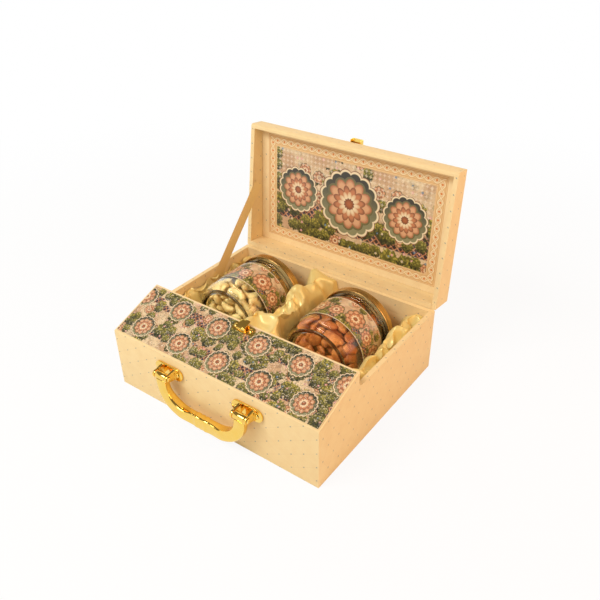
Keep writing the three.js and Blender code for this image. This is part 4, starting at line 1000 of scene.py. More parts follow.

# %% [markdown]
# ## Deck print
#
# The deck's card has a cream edge and an all-over print with a glitter varnish. The varnish is a clear coat
# with specks in it: fine Voronoi cells, of which a few are glossier and painted pale as a painted glint,
# and a few are painted darker. The print is embossed, which the rosettes' and leaves' own heights give.

# %% Deck print
DECK_LENGTH = math.hypot(DECK_BACK - FRONT, DECK_TOP - FRONT_HEIGHT)
DECK_EDGE, DECK_GROWS = 3.5, 1.7
TILE_RUN, TILE_RISE, TILE_MEDALLION, FENCE_PITCH = 0.0512, 0.0332, 0.0138, 0.031
deck_finish, w, sockets = new_finish(
    "deck_glitter_print", Roughness=0.34, Coat_Weight=0.5, Coat_Roughness=0.12)
u, v, _ = w.split(w.uv())
slope_middle = w.plus(v, DECK_LENGTH / 2 * MM)
spot = w.join(u, slope_middle)
folded = w.absolute(w.in_step(w.times(slope_middle, 1 / FENCE_PITCH)))
fences = w.times(w.fade(folded, 0.2, 0.22, 1.0, 0.0), w.fade(w.cloud(spot, 30.0, 1.0), 0.42, 0.44))
garden = w.group(garden_group, {
    "Vector": spot, "Scale": 52.0, "Fence": fences, "Shrubs": 0.6, "Rosettes": 0.5})
row = w.math("FLOOR", w.over(slope_middle, TILE_RISE))
tile_u = w.in_step(w.times_plus(row, 0.5, w.over(u, TILE_RUN)))
tile_v = w.in_step(w.over(slope_middle, TILE_RISE))
here = w.join(w.times(tile_u, TILE_RUN), w.times(tile_v, TILE_RISE))
medallion = w.group(medallion_group, {"Vector": here, "Radius": TILE_MEDALLION, "Petals": 10.0})
panel = w.mix(medallion["Mask"], garden["Color"], medallion["Color"])
relief = w.plus(garden["Height"], medallion["Height"])
glitter = w.shares(w.cells(spot, 1500.0, 1.0)["Color"])[0]
# Painted glint: the brightest cells are painted pale for the glitter's sparkle; a few of the lowest are
# painted darker.
panel = w.mix(w.fade(glitter, 0.9, 0.94, 0.0, 0.7), panel, tone("f3e6cf"))
panel = w.mix(w.fade(glitter, 0.1, 0.14, 0.5, 0.0), panel, tone("3a3226"))
edge_u = w.minus(w.absolute(u), (HALF_WIDTH - DECK_EDGE + DECK_GROWS - 0.4) * MM)
edge_v = w.minus(w.absolute(slope_middle), (DECK_LENGTH / 2 - DECK_EDGE + DECK_GROWS - 0.4) * MM)
w.feed(sockets["Base Color"], w.mix(
    w.math("GREATER_THAN", w.most(edge_u, edge_v), 0.0), panel, tone("f3dcb0")))
w.feed(sockets["Roughness"], w.fade(glitter, 0.8, 0.9, 0.4, 0.12))
w.feed(sockets["Normal"], w.bump(relief, 0.35, 0.0006))


def spread_on_deck(point):
    """Moves the card's outline out to the margin that the photograph shows."""
    local = DECK_PLACE.inverted() @ point
    from_middle = local.y + DECK_LENGTH / 2
    if abs(local.x) > HALF_WIDTH - DECK_EDGE - 0.5:
        local.x += math.copysign(DECK_GROWS, local.x)
    if abs(from_middle) > DECK_LENGTH / 2 - DECK_EDGE - 0.5:
        local.y += math.copysign(DECK_GROWS, from_middle)
    return DECK_PLACE @ local


soft_copy("deck_print_card", deck_finish, "case", 0, uv_turn=DECK_PLACE, axes=CARD_AXES,
          reshape=spread_on_deck)

# %% [markdown]
# ## Jars
#
# Each jar is a pressed glass tumbler: a heavy base with a bearing ring, a rounded heel, straight sides, and
# a neck with thread beads under the cap. A turned shape is drawn as half of its section and spun round its
# axis. The inside wall is part of the same section, because glass only looks like glass when light can
# enter and leave it.

# %% Jar glass
SPIN_STEPS = 96
JARS = {"left": Vector((-67.6, -5.7, 48.9)), "right": Vector((56.0, -8.2, 48.9))}
GLASS_RADIUS, GLASS_HEIGHT, GLASS_WALL, GLASS_BASE = 42.4, 83.6, 2.6, 5.0
RING_RADIUS, HEEL = 34.5, 14.0
NECK_RADIUS, NECK, SHOULDER = 40.0, 17.0, 7.0


def bend(start, end, bulge, steps=8):
    """Points of a quarter of an ellipse between two section points; bulge keeps radius or height first."""
    points = []
    for i in range(1, steps + 1):
        a = math.pi / 2 * i / steps
        first, second = math.sin(a), 1 - math.cos(a)
        if bulge == "height":
            first, second = second, first
        points.append((start[0] + (end[0] - start[0]) * first, start[1] + (end[1] - start[1]) * second))
    return points


def spun(section):
    """A closed or axis-to-axis section of (radius, height) turned round the Y axis."""
    bm = bmesh.new()
    verts = [bm.verts.new((r, h, 0)) for r, h in section]
    edges = [bm.edges.new(pair) for pair in zip(verts, verts[1:])]
    bmesh.ops.spin(
        bm, geom=verts + edges, cent=(0, 0, 0), axis=(0, 1, 0), angle=2 * math.pi, steps=SPIN_STEPS,
        use_merge=True, use_duplicate=False)
    bmesh.ops.remove_doubles(bm, verts=bm.verts, dist=0.001)
    bmesh.ops.recalc_face_normals(bm, faces=bm.faces)
    return bm


neck_start = GLASS_HEIGHT - NECK
glass_section = [(0, 2.2), (20, 2.1), (30, 1.9), (31.8, 1.6), (32.6, 0.8), (33.4, 0.2), (RING_RADIUS, 0),
                 (35.6, 0.2), (36.3, 0.8), (36.8, 1.6)]
glass_section += bend((36.8, 1.7), (GLASS_RADIUS, HEEL), "radius", 10)
glass_section += [(GLASS_RADIUS, neck_start - SHOULDER)]
glass_section += bend((GLASS_RADIUS, neck_start - SHOULDER), (NECK_RADIUS, neck_start), "height", 6)
for bead in (3.2, 7.4):
    glass_section += [(NECK_RADIUS, neck_start + bead - 1.6), (NECK_RADIUS + 0.9, neck_start + bead - 0.7),
                      (NECK_RADIUS + 1.2, neck_start + bead), (NECK_RADIUS + 0.9, neck_start + bead + 0.7),
                      (NECK_RADIUS, neck_start + bead + 1.6)]
glass_section += [(NECK_RADIUS, GLASS_HEIGHT - 1), (NECK_RADIUS - 0.4, GLASS_HEIGHT - 0.2),
                  (NECK_RADIUS - 1.2, GLASS_HEIGHT)]
inner_neck, inner_wall = NECK_RADIUS - GLASS_WALL, GLASS_RADIUS - GLASS_WALL
inner_base, inner_heel, inner_foot = GLASS_BASE + 2.2, HEEL + 2, 30
glass_section += [(inner_neck, GLASS_HEIGHT - 1), (inner_neck, neck_start)]
glass_section += bend((inner_neck, neck_start), (inner_wall, neck_start - SHOULDER), "height", 6)
glass_section += [(inner_wall, inner_heel)]
glass_section += bend((inner_wall, inner_heel), (inner_foot, inner_base), "height", 8)
glass_section += [(inner_foot / 2, inner_base), (0, inner_base)]

glass_finish, w, sockets = new_finish(
    "clear_glass", Roughness=0.02, IOR=1.47, Transmission_Weight=1.0, Specular_Tint=(1.0, 0.9, 0.74, 1))
u, v, _ = w.split(w.uv())
knurl = w.absolute(w.in_step(w.times(u, 900.0)))
ring_band = w.fade(v, 0.0012, 0.0017, 1.0, 0.0)
# Painted reflection: the neck is painted a warm tan for the gold cap and warm surroundings mirrored in it.
neck_painted_reflection = w.fade(v, (neck_start - SHOULDER) * MM, neck_start * MM)
clear = w.mix(neck_painted_reflection, tone("f6f8ee"), tone("dccba0"))
# Painted shade: the bearing ring is painted near black for the dark that refraction shows there, with paler
# knurl lines as painted glints.
w.feed(sockets["Base Color"], w.mix(
    w.times(ring_band, w.fade(knurl, 0.05, 0.2, 0.55, 1.0)), clear, tone("1a130d")))
w.feed(sockets["Normal"], w.bump(w.plus(w.times(ring_band, knurl), w.cloud(w.place(), 70.0)), 0.05, 0.0008))
lamp_ray = w.node("ShaderNodeLightPath").outputs["Is Shadow Ray"]
through = w.node("ShaderNodeBsdfTransparent", {"Color": (0.93, 0.94, 0.9, 1)})
glass_mix = w.node("ShaderNodeMixShader", {"Fac": lamp_ray})
w.feed(glass_mix.inputs[1], glass_finish.node_tree.nodes["Principled BSDF"].outputs[0])
w.feed(glass_mix.inputs[2], through.outputs[0])
w.feed(glass_finish.node_tree.nodes["Material Output"].inputs["Surface"], glass_mix.outputs[0])


def round_uv(bm, radius):
    """Distance round the Y axis and height along it, in metres, with no tear across the seam."""
    layer = bm.loops.layers.uv.new("UVMap")
    for face in bm.faces:
        middle = face.calc_center_median()
        face_angle = math.atan2(middle.x, middle.z)
        for loop in face.loops:
            point = loop.vert.co
            angle = math.atan2(point.x, point.z) - face_angle
            angle = face_angle + math.remainder(angle, 2 * math.pi)
            loop[layer].uv = (angle * radius * MM, point.y * MM)


def both_jars(section, radius, finish, name, body, node, smooth_under):
    """Spins a section for each jar and lays it in its place; the names take the jar's side."""
    for side, base in JARS.items():
        bm = spun(section)
        round_uv(bm, radius)
        bmesh.ops.translate(bm, vec=base, verts=bm.verts)
        piece(bm, name % side, finish, body % side, (node % side,), smooth_under)


both_jars(glass_section, GLASS_RADIUS, glass_finish, "jar_%s", "jar_%s", "jar_glass_%s", 35)

# %% [markdown]
# ## Labels
#
# A paper label goes round each jar between the heel and the shoulder. Its print needs a map that follows
# the paper: the distance round the jar one way and the height the other.

# %% Jar labels
LABEL_RADIUS, LABEL_PAPER, LABEL_LOW, LABEL_HIGH, LABEL_EDGING = 42.95, 0.25, 24.0, 60.0, 0.7
LABEL_ROSETTES = 6
label_finish, w, sockets = new_finish("jar_label_print", Roughness=0.3, Coat_Weight=0.4, Coat_Roughness=0.1)
u, v, _ = w.split(w.uv())
spot = w.join(u, v)
garden = w.group(garden_group, {
    "Vector": spot, "Scale": 62.0, "Fence": w.fade(v, 0.034, 0.035, 1.0, 0.0),
    "Shrubs": w.fade(v, 0.03, 0.058, 0.75, 0.25), "Rosettes": 0.4})
panel = garden["Color"]
relief = garden["Height"]
repeat = 2 * math.pi * LABEL_RADIUS * MM / LABEL_ROSETTES
for shift, lift, radius in ((0.0, 0.041, 0.0125), (0.5, 0.038, 0.009)):
    cell_u = w.in_step(w.times_plus(u, 1 / repeat, shift))
    here = w.join(w.times(cell_u, repeat), w.minus(v, lift))
    rosette = w.group(rosette_group, {"Vector": here, "Radius": radius, "Petals": 9.0})
    panel = w.mix(rosette["Mask"], panel, rosette["Color"])
    relief = w.plus(relief, rosette["Height"])
edging = w.most(w.minus((LABEL_LOW + LABEL_EDGING) * MM, v), w.minus(v, (LABEL_HIGH - LABEL_EDGING) * MM))
w.feed(sockets["Base Color"], w.mix(w.math("GREATER_THAN", edging, 0.0), panel, tone("efdcb8")))
w.feed(sockets["Normal"], w.bump(relief, 0.15, 0.0004))

label_inside = LABEL_RADIUS - LABEL_PAPER
label_section = [(label_inside, LABEL_LOW), (LABEL_RADIUS, LABEL_LOW), (LABEL_RADIUS, LABEL_HIGH),
                 (label_inside, LABEL_HIGH), (label_inside, LABEL_LOW)]
both_jars(label_section, LABEL_RADIUS, label_finish, "label_%s", "jar_%s", "jar_label_%s", 30)

# %% [markdown]
# ## Caps
#
# The caps are drawn from thin gold-lacquered tin. They have a rolled bead at the foot of the skirt and a
# soft corner at the top. The lacquer is brushed round the skirt, so the streaks in its roughness are long
# round the axis and short along it.

# %% Caps
CAP_RADIUS, CAP_TOP, CAP_SKIRT = 43.1, 85.5, 9.5
CAP_TIN, CAP_BEAD, CAP_CORNER = 0.7, 0.5, 1.6
cap_finish, w, sockets = new_finish("gold_lacquered_tin", Metallic=1.0)
u, v, _ = w.split(w.uv())
streaks = w.cloud(w.join(w.times(u, 25.0), w.times(v, 3500.0)), 1.0, 4.0)
w.feed(sockets["Base Color"], w.mix(streaks, tone("c09048"), tone("e6c27c")))
w.feed(sockets["Roughness"], w.fade(streaks, 0.3, 0.7, 0.22, 0.38))
cap_foot = CAP_TOP - CAP_SKIRT
cap_shoulder, bead_reach = CAP_RADIUS - CAP_CORNER, CAP_RADIUS + CAP_BEAD
cap_section = [(0, CAP_TOP - CAP_TIN), (36, CAP_TOP - CAP_TIN), (37, CAP_TOP - 0.1), (38, CAP_TOP)]
cap_section += [(cap_shoulder, CAP_TOP)]
cap_section += bend((cap_shoulder, CAP_TOP), (CAP_RADIUS, CAP_TOP - CAP_CORNER), "radius", 5)
cap_section += [(CAP_RADIUS, cap_foot + 1.9), (bead_reach, cap_foot + 1.3), (bead_reach, cap_foot + 0.5),
                (CAP_RADIUS, cap_foot), (CAP_RADIUS - CAP_TIN, cap_foot + 0.3)]
cap_section += [(CAP_RADIUS - CAP_TIN, CAP_TOP - CAP_CORNER), (cap_shoulder, CAP_TOP - 2 * CAP_TIN),
                (0, CAP_TOP - 2 * CAP_TIN)]
both_jars(cap_section, CAP_RADIUS, cap_finish, "cap_%s", "cap_%s", "jar_cap_%s", 50)

# %% [markdown]
# ## Nuts
#
# The jars are full of cashews and almonds. Through the glass one sees separate nuts with dark gaps between
# them, so each nut is its own small shape: an almond is a flattened ball drawn out to a point, a cashew is
# a ball bent into a crescent. They are laid in shells just inside the wall and over the base, with a seeded
# random turn, and each one that would touch the glass is pushed back until it is clear.

# %% Nut shapes
NUT_AIR = 0.4


def almond(length, rng):
    """An almond along Z, flat side to Y."""
    bm = bmesh.new()
    bmesh.ops.create_uvsphere(bm, u_segments=10, v_segments=7, radius=1)
    wide = 0.29 * length * rng.uniform(0.92, 1.1)
    thick = 0.19 * length * rng.uniform(0.9, 1.1)
    for vert in bm.verts:
        x, y, z = vert.co
        taper = 1 - 0.42 * max(z, 0) ** 1.3 - 0.08 * max(-z, 0)
        vert.co = (x * wide * taper, y * thick * taper, z * length / 2)
    return bm


def cashew(length, rng):
    """A cashew along Z that bends towards X."""
    bm = bmesh.new()
    bmesh.ops.create_uvsphere(bm, u_segments=9, v_segments=8, radius=1)
    thick = 0.2 * length * rng.uniform(0.9, 1.1)
    curve = 0.34 * length
    for vert in bm.verts:
        x, y, z = vert.co
        fat = thick * (1 + 0.14 * z)
        around = z * 1.35
        out = curve + x * fat
        vert.co = (out * math.cos(around) - curve * 0.75, y * fat * 0.9, out * math.sin(around))
    return bm


def inside_radius(height):
    """The inner wall's radius at a height, with a hair of air."""
    reach = inner_wall
    if height < inner_heel:
        t = min(max((inner_heel - height) / (inner_heel - inner_base), 0), 1)
        reach = inner_foot + (inner_wall - inner_foot) * math.sqrt(max(1 - t * t, 0))
    if height > neck_start - SHOULDER:
        reach = inner_neck
    return reach - NUT_AIR


# %% [markdown]
# Nuts dropped at random would run into each other and melt into one lump. So each nut is first stood for by
# three balls in a row, and in some rounds every pair of balls that overlap is pushed apart, while the glass
# pushes back. Only then are the real shapes put in.

# %% Settling the nuts
import numpy

NUT_COUNT, BASE_NUTS, SETTLE_ROUNDS = 118, 26, 70
BALL_SHARE, BALL_STEP, PUSH_APART, PUSH_BACK, TURN_SHARE = 0.2, 0.29, 0.16, 0.5, 0.35


def settled_places(length, seed):
    """Middles and long axes of nuts in a jar that stands at the origin with its axis along Y."""
    rng = random.Random(seed)
    middles, axes = [], []
    for k in range(NUT_COUNT):
        on_base = k < BASE_NUTS
        turn = rng.uniform(0, 2 * math.pi)
        reach = 27 * math.sqrt(rng.random()) if on_base else rng.uniform(24, 35)
        height = rng.uniform(10, 18) if on_base else rng.uniform(12, 72)
        middles.append((reach * math.sin(turn), height, reach * math.cos(turn)))
        lean = rng.uniform(0, 2 * math.pi)
        rise = math.sin(lean) * (0.25 if on_base else 1)
        axes.append((math.cos(turn) * math.cos(lean), rise, -math.sin(turn) * math.cos(lean)))
    middles = numpy.array(middles)
    axes = numpy.array(axes)
    axes /= numpy.linalg.norm(axes, axis=1)[:, None]
    ball, step = BALL_SHARE * length, BALL_STEP * length
    low, high = GLASS_BASE + 2.4 + ball, GLASS_HEIGHT - 3 - ball
    for _ in range(SETTLE_ROUNDS):
        push = numpy.zeros_like(middles)
        twist = numpy.zeros_like(middles)
        stations = [-step, 0.0, step]
        balls = numpy.stack([middles + axes * s for s in stations], axis=1)
        for i, first in enumerate(stations):
            for j in range(3):
                gap = balls[:, None, i, :] - balls[None, :, j, :]
                apart = numpy.linalg.norm(gap, axis=2)
                numpy.fill_diagonal(apart, 1e9)
                deep = numpy.clip(2 * ball - apart, 0, None)
                force = (gap / apart[:, :, None] * deep[:, :, None]).sum(axis=1) * PUSH_APART
                push += force
                twist += force * first
            reach = numpy.hypot(balls[:, i, 0], balls[:, i, 2])
            limit = numpy.array([inside_radius(h) for h in balls[:, i, 1]]) - ball
            over = numpy.clip(reach - limit, 0, None) * PUSH_BACK
            force = numpy.zeros_like(middles)
            force[:, 0] = -balls[:, i, 0] / reach * over
            force[:, 2] = -balls[:, i, 2] / reach * over
            height = balls[:, i, 1]
            too_low, too_high = numpy.clip(low - height, 0, None), numpy.clip(height - high, 0, None)
            force[:, 1] = (too_low - too_high) * PUSH_BACK
            push += force
            twist += force * first
        middles = middles + push
        axes = axes + twist / step ** 2 * TURN_SHARE
        axes /= numpy.linalg.norm(axes, axis=1)[:, None]
    return middles, axes


def wall_side(middle):
    """The way from a nut to the glass it lies against: the wall round the jar, or its base."""
    if middle.y > 19 or middle.xz.length > 27:
        return Vector((middle.x, 0, middle.z))
    return Vector((0, -1, 0))


def nut_bed(shape, length, seed):
    """The settled nuts as one mesh."""
    rng = random.Random(seed)
    bm = bmesh.new()
    scrap = bpy.data.meshes.new("one_nut")
    for middle, axis in zip(*settled_places(length, seed)):
        middle, axis = Vector(middle), Vector(axis)
        side = axis.cross(wall_side(middle)).normalized()
        face = side.cross(axis)
        lie = Matrix((side, -face, axis)).transposed().to_4x4()
        nut = shape(length * rng.uniform(0.9, 1.06), rng)
        spin = Matrix.Rotation(rng.uniform(-0.4, 0.4), 4, "Z")
        bmesh.ops.transform(nut, matrix=Matrix.Translation(middle) @ lie @ spin, verts=nut.verts)
        proud = max(math.hypot(vert.co.x, vert.co.z) - inside_radius(vert.co.y) for vert in nut.verts)
        if proud > 0:
            inward = Vector((middle.x, 0, middle.z)).normalized() * -proud
            bmesh.ops.translate(nut, vec=inward, verts=nut.verts)
        sunk = max(0.0, GLASS_BASE + 2.5 - min(vert.co.y for vert in nut.verts))
        bmesh.ops.translate(nut, vec=(0, sunk, 0), verts=nut.verts)
        nut.to_mesh(scrap)
        nut.free()
        bm.from_mesh(scrap)
    bpy.data.meshes.remove(scrap)
    return bm


# %% [markdown]
# An almond's skin is matt brown with fine grooves along it and a paler bloom on the ridges. A cashew is
# cream with faint tan patches. Both read Object coordinates, so neighbours differ.

# %% Nuts in their jars
almond_finish, w, sockets = new_finish("almond_skin", Roughness=0.55)
spot = w.place()
patch = w.cloud(spot, 75.0, 2.0)
groove = w.cloud(spot, 900.0, 4.0)
skin = w.mix(w.fade(patch, 0.35, 0.65), tone("b05a24"), tone("d98642"))
w.feed(sockets["Base Color"], w.mix(w.fade(groove, 0.5, 0.65, 0.0, 0.55), skin, tone("833a14")))
w.feed(sockets["Normal"], w.bump(groove, 0.5, 0.0006))

cashew_finish, w, sockets = new_finish(
    "cashew_cream", Roughness=0.5, Subsurface_Weight=0.1, Subsurface_Radius=(0.004, 0.003, 0.0015))
spot = w.place()
patch = w.cloud(spot, 110.0, 3.0)
cream = w.mix(w.fade(patch, 0.4, 0.65), tone("f0d69a"), tone("d9b06c"))
w.feed(sockets["Base Color"], cream)
w.feed(sockets["Normal"], w.bump(w.cloud(spot, 500.0, 3.0), 0.3, 0.0006))

for side, shape, length, finish, node, slot, seed in (
        ("left", cashew, 25.0, cashew_finish, "cashews_left", "cashew", 5),
        ("right", almond, 24.0, almond_finish, "almonds_right", "almond", 8)):
    nuts_bm = nut_bed(shape, length, seed)
    bmesh.ops.translate(nuts_bm, vec=JARS[side], verts=nuts_bm.verts)
    piece(nuts_bm, "nuts_%s" % side, finish, "jar_%s" % side, (node,), 80)

# %% [markdown]
# ## Wadding
#
# Three strips of soft wadding hold the satin up beside the jars. They are hidden under it, so softened
# copies of the CAD strips are enough: their edges are rounded as pressed wadding is. The satin's folds
# press them a little narrower and lower, so each copy is squeezed towards its foot and towards the wall
# beside it, or its own middle.

# %% Wadding
wadding_finish, w, sockets = new_finish("white_wadding", Roughness=0.95)
fluff = w.cloud(w.place(), 600.0, 5.0)
w.feed(sockets["Base Color"], w.mix(fluff, tone("e4dccb"), tone("f8f4ea")))
w.feed(sockets["Normal"], w.bump(fluff, 0.6, 0.001))
SQUEEZE_ACROSS, SQUEEZE_DOWN = 0.8, 0.94


def squeezer(strip):
    """Presses a strip towards its foot, and towards the wall beside it or its own middle."""
    points = [vert.co / MM for vert in nodes[strip].data.vertices]
    left, right = min(point.x for point in points), max(point.x for point in points)
    foot = min(point.z for point in points)
    held_at = {"foam_left": left, "foam_middle": (left + right) / 2, "foam_right": right}[strip]

    def squeeze(point):
        across = held_at + (point.x - held_at) * SQUEEZE_ACROSS
        return Vector((across, point.y, foot + (point.z - foot) * SQUEEZE_DOWN))

    return squeeze


WADDING = ["foam_left", "foam_middle", "foam_right"]
for strip in WADDING:
    pressed = soft_copy(strip, wadding_finish, "case", 2.0, 3, reshape=squeezer(strip))

# %% [markdown]
# ## Satin
#
# The satin is a loose sheet, far larger than the box, tucked down at the walls and pushed up in folds round
# the jars. It starts as a flat grid dropped onto the CAD sheet's surface. Then Blender's cloth simulation
# lets it grow by two fifths while its border stays tucked in and a form stands where each jar lies, so it
# buckles as real cloth does. The form goes straight up from the jar's widest line, because a jar has to
# lift out without catching the cloth.

# %% Satin start
from mathutils.bvhtree import BVHTree

SATIN_X, SATIN_Y = (-123.8, 124.7), (-43.4, 103.0)
SATIN_CELL, SATIN_TUCK = 3.0, 0.3
SIM_SCALE = 0.01
FORM_RADIUS, FORM_TOP = 43.9, 120.0
CAP_TRAVEL = 4.0
FORM_FRONT, FORM_BACK = 0.6, CAP_TOP + CAP_TRAVEL + 1.0
satin_rng = random.Random(11)


def bed_tree():
    """The CAD sheet, ready to be asked for its height at a place."""
    bm = bmesh.new()
    bm.from_mesh(nodes["satin_lining"].data)
    bmesh.ops.scale(bm, vec=(1 / MM, 1 / MM, 1 / MM), verts=bm.verts)
    tree = BVHTree.FromBMesh(bm)
    bm.free()
    return tree


satin_bed = bed_tree()
TURN = 2 * math.pi
waves = [
    (satin_rng.uniform(0, TURN), satin_rng.uniform(0, TURN), satin_rng.uniform(22, 60))
    for _ in range(9)]


def ruffle(x, y):
    """A few seeded waves that decide where the cloth begins to buckle."""
    return sum(math.sin(TURN * (x * math.cos(d) + y * math.sin(d)) / size + p) for d, p, size in waves) / 3


across_satin, along_satin = SATIN_X[1] - SATIN_X[0], SATIN_Y[1] - SATIN_Y[0]
satin_bm = bmesh.new()
columns, rows = round(across_satin / SATIN_CELL), round(along_satin / SATIN_CELL)
bmesh.ops.create_grid(satin_bm, x_segments=columns, y_segments=rows, size=0.5)
satin_uv = satin_bm.loops.layers.uv.new("UVMap")
for vert in satin_bm.verts:
    x = SATIN_X[0] + (vert.co.x + 0.5) * across_satin
    y = SATIN_Y[0] + (vert.co.y + 0.5) * along_satin
    x = min(max(x, SATIN_X[0] + SATIN_TUCK), SATIN_X[1] - SATIN_TUCK)
    y = min(max(y, SATIN_Y[0] + SATIN_TUCK), SATIN_Y[1] - SATIN_TUCK)
    hit = satin_bed.ray_cast(Vector((x, y, 200)), Vector((0, 0, -1)))[0]
    vert.co = (x, y, hit.z)
for face in satin_bm.faces:
    for loop in face.loops:
        loop[satin_uv].uv = (loop.vert.co.x * MM, loop.vert.co.y * MM)
border = {vert.index for vert in satin_bm.verts if vert.is_boundary}
bed_top = BVHTree.FromBMesh(satin_bm)
print("satin grid", len(satin_bm.verts), "points")

# %% [markdown]
# The simulation runs ten times larger than life, because cloth settings behave best at that size. The
# forms for the jars are prisms: half a cylinder below and straight walls above. A lowered copy of the start
# shape stands for the wadding underneath. Eight frames are enough for the first buckles. Collisions do not
# repeat to the last digit, and so short a run keeps the difference between two runs too small to see.

# %% Satin simulation
CLOTH = {
    "quality": 6, "mass": 0.2, "tension_stiffness": 20, "compression_stiffness": 20, "shear_stiffness": 8,
    "bending_stiffness": 4, "tension_damping": 10, "compression_damping": 10, "bending_damping": 1,
    "air_damping": 3, "vertex_group_mass": "tucked", "shrink_min": -0.4}
CLOTH_GRAVITY, SIM_FRAMES = 0.35, 8
BED_DROP, BED_THICK, RUFFLE_HEIGHT, RUFFLE_LIFT = 3.0, 6.0, 1.2, 1.5


def sim_object(name, bm):
    mesh = bpy.data.meshes.new(name)
    bm.to_mesh(mesh)
    mesh.transform(Matrix.Scale(SIM_SCALE, 4))
    made = bpy.data.objects.new(name, mesh)
    scene.collection.objects.link(made)
    return made


def jar_form(base):
    """What a jar needs free: its lower half and the way straight up."""
    low = arc((base.x, base.z), FORM_RADIUS, 180, 360, 24)
    outline = low + [(base.x + FORM_RADIUS, FORM_TOP), (base.x - FORM_RADIUS, FORM_TOP)]
    bm = bmesh.new()
    pull(bm, [(x, base.y - FORM_FRONT, z) for x, z in outline], (0, FORM_FRONT + FORM_BACK, 0))
    return bm


def make_collider(name, bm):
    made = sim_object(name, bm)
    bm.free()
    made.modifiers.new("collision", "COLLISION")
    made.collision.thickness_outer = 0.006
    made.collision.thickness_inner = 0.1
    made.collision.cloth_friction = 6
    return made


def fold_satin(bm):
    """Grows the cloth into folds and writes its new place back to the mesh."""
    helpers = [make_collider("jar_form_" + side, jar_form(base)) for side, base in JARS.items()]
    under = bm.copy()
    bmesh.ops.translate(under, vec=(0, 0, -BED_DROP), verts=under.verts)
    bmesh.ops.solidify(under, geom=under.faces, thickness=BED_THICK)
    helpers.append(make_collider("wadding_form", under))
    for vert in bm.verts:
        if vert.index not in border:
            vert.co.z += RUFFLE_HEIGHT * ruffle(vert.co.x, vert.co.y) + RUFFLE_LIFT
    cloth_object = sim_object("satin_cloth", bm)
    helpers.append(cloth_object)
    pinned = cloth_object.vertex_groups.new(name="tucked")
    pinned.add(sorted(border), 1.0, "REPLACE")
    cloth = cloth_object.modifiers.new("cloth", "CLOTH")
    for setting, value in CLOTH.items():
        setattr(cloth.settings, setting, value)
    cloth.settings.effector_weights.gravity = CLOTH_GRAVITY
    touch = cloth.collision_settings
    touch.collision_quality = 2
    touch.distance_min = 0.008
    cloth.point_cache.frame_start = 1
    cloth.point_cache.frame_end = SIM_FRAMES
    for step in range(1, SIM_FRAMES + 1):
        scene.frame_set(step)
    settled = cloth_object.evaluated_get(bpy.context.evaluated_depsgraph_get()).data
    bm.verts.ensure_lookup_table()
    for vert, point in zip(bm.verts, settled.vertices):
        vert.co = point.co / SIM_SCALE
    scene.frame_set(1)
    for helper in helpers:
        bpy.data.meshes.remove(helper.data)


fold_satin(satin_bm)
print("satin height", max(vert.co.z for vert in satin_bm.verts))

# %% [markdown]
# After the simulation the cloth is smoothed a little and cut finer. Then it is pressed back from its crests
# into broad rolls, each rising gently and dropping steeply behind, as gathered satin lies over itself, with
# fine crease lines across them. Every point is kept above the wadding, inside the walls and below the front
# wall of the shut lid. Satin is woven so that long threads lie on top, so its shine is soft and broad, with
# a pale sheen where a fold turns away.

# %% Satin finish and piece
LID_WALL_INSIDE, LID_AIR, LID_RISE, WELL_AIR = -35.5, 0.4, 1.5, 0.8
ROLL_DEPTH, ROLL_REST, ROLL_WANDER, ROLL_SPREAD = 6.5, 0.86, 0.6, 36.0
MIDDLE_ROLLS, SIDE_ROLLS = (38.0, 0.6), (25.0, 0.55)
ROLL_LOW, ROLL_HIGH = 22.0, 58.0
CREASE_PITCH, CREASE_DEPTH, CREASE_SLANT, CREASE_SPREAD = 15.0, 1.5, 0.6, 30.0
SMOOTHINGS, BED_CLEAR = 2, -2.2
satin_finish, w, sockets = new_finish(
    "gold_satin", Roughness=0.33, Metallic=0.22, Anisotropic=0.4, Sheen_Weight=0.6, Sheen_Roughness=0.3,
    Sheen_Tint=tone("fff3cf"))
thread = w.uv()
shot = w.cloud(thread, 60.0, 2.0)
w.feed(sockets["Base Color"], w.mix(shot, tone("f2d680"), tone("f8e39c")))
fine_u, fine_v, _ = w.split(thread)
weave = w.cloud(w.join(w.times(fine_u, 900.0), w.times(fine_v, 5200.0)), 1.0, 2.0)
w.feed(sockets["Normal"], w.bump(weave, 0.08, 0.0002))


def roll_drop(x, y):
    """How far a place lies below the crest of its roll, from 0 to 1."""
    between = JARS["left"].x < x < JARS["right"].x
    pitch, slant = MIDDLE_ROLLS if between else SIDE_ROLLS
    wander = ROLL_WANDER * noise.noise(Vector((x, y, 0)) / ROLL_SPREAD)
    part = ((y - slant * x) / pitch + wander) % 1
    return 1 - softly(part, 0, ROLL_REST) if part < ROLL_REST else softly(part, ROLL_REST, 1)


def crease(x, y):
    """Fine pressed lines across the rolls."""
    wander = noise.noise(Vector((x, y, 9)) / ROLL_SPREAD)
    line = (1 - abs(math.sin(math.pi * ((x + CREASE_SLANT * y) / CREASE_PITCH + wander)))) ** 3
    return line * softly(noise.noise(Vector((x, y, 5)) / CREASE_SPREAD), -1 / 3, 1 / 3)


def above_bed(point):
    """The point itself, or the nearest place on the bed if it would sink into the wadding."""
    near, normal, _, _ = bed_top.find_nearest(point)
    return point if (point - near).dot(normal) > BED_CLEAR else near + normal * BED_CLEAR


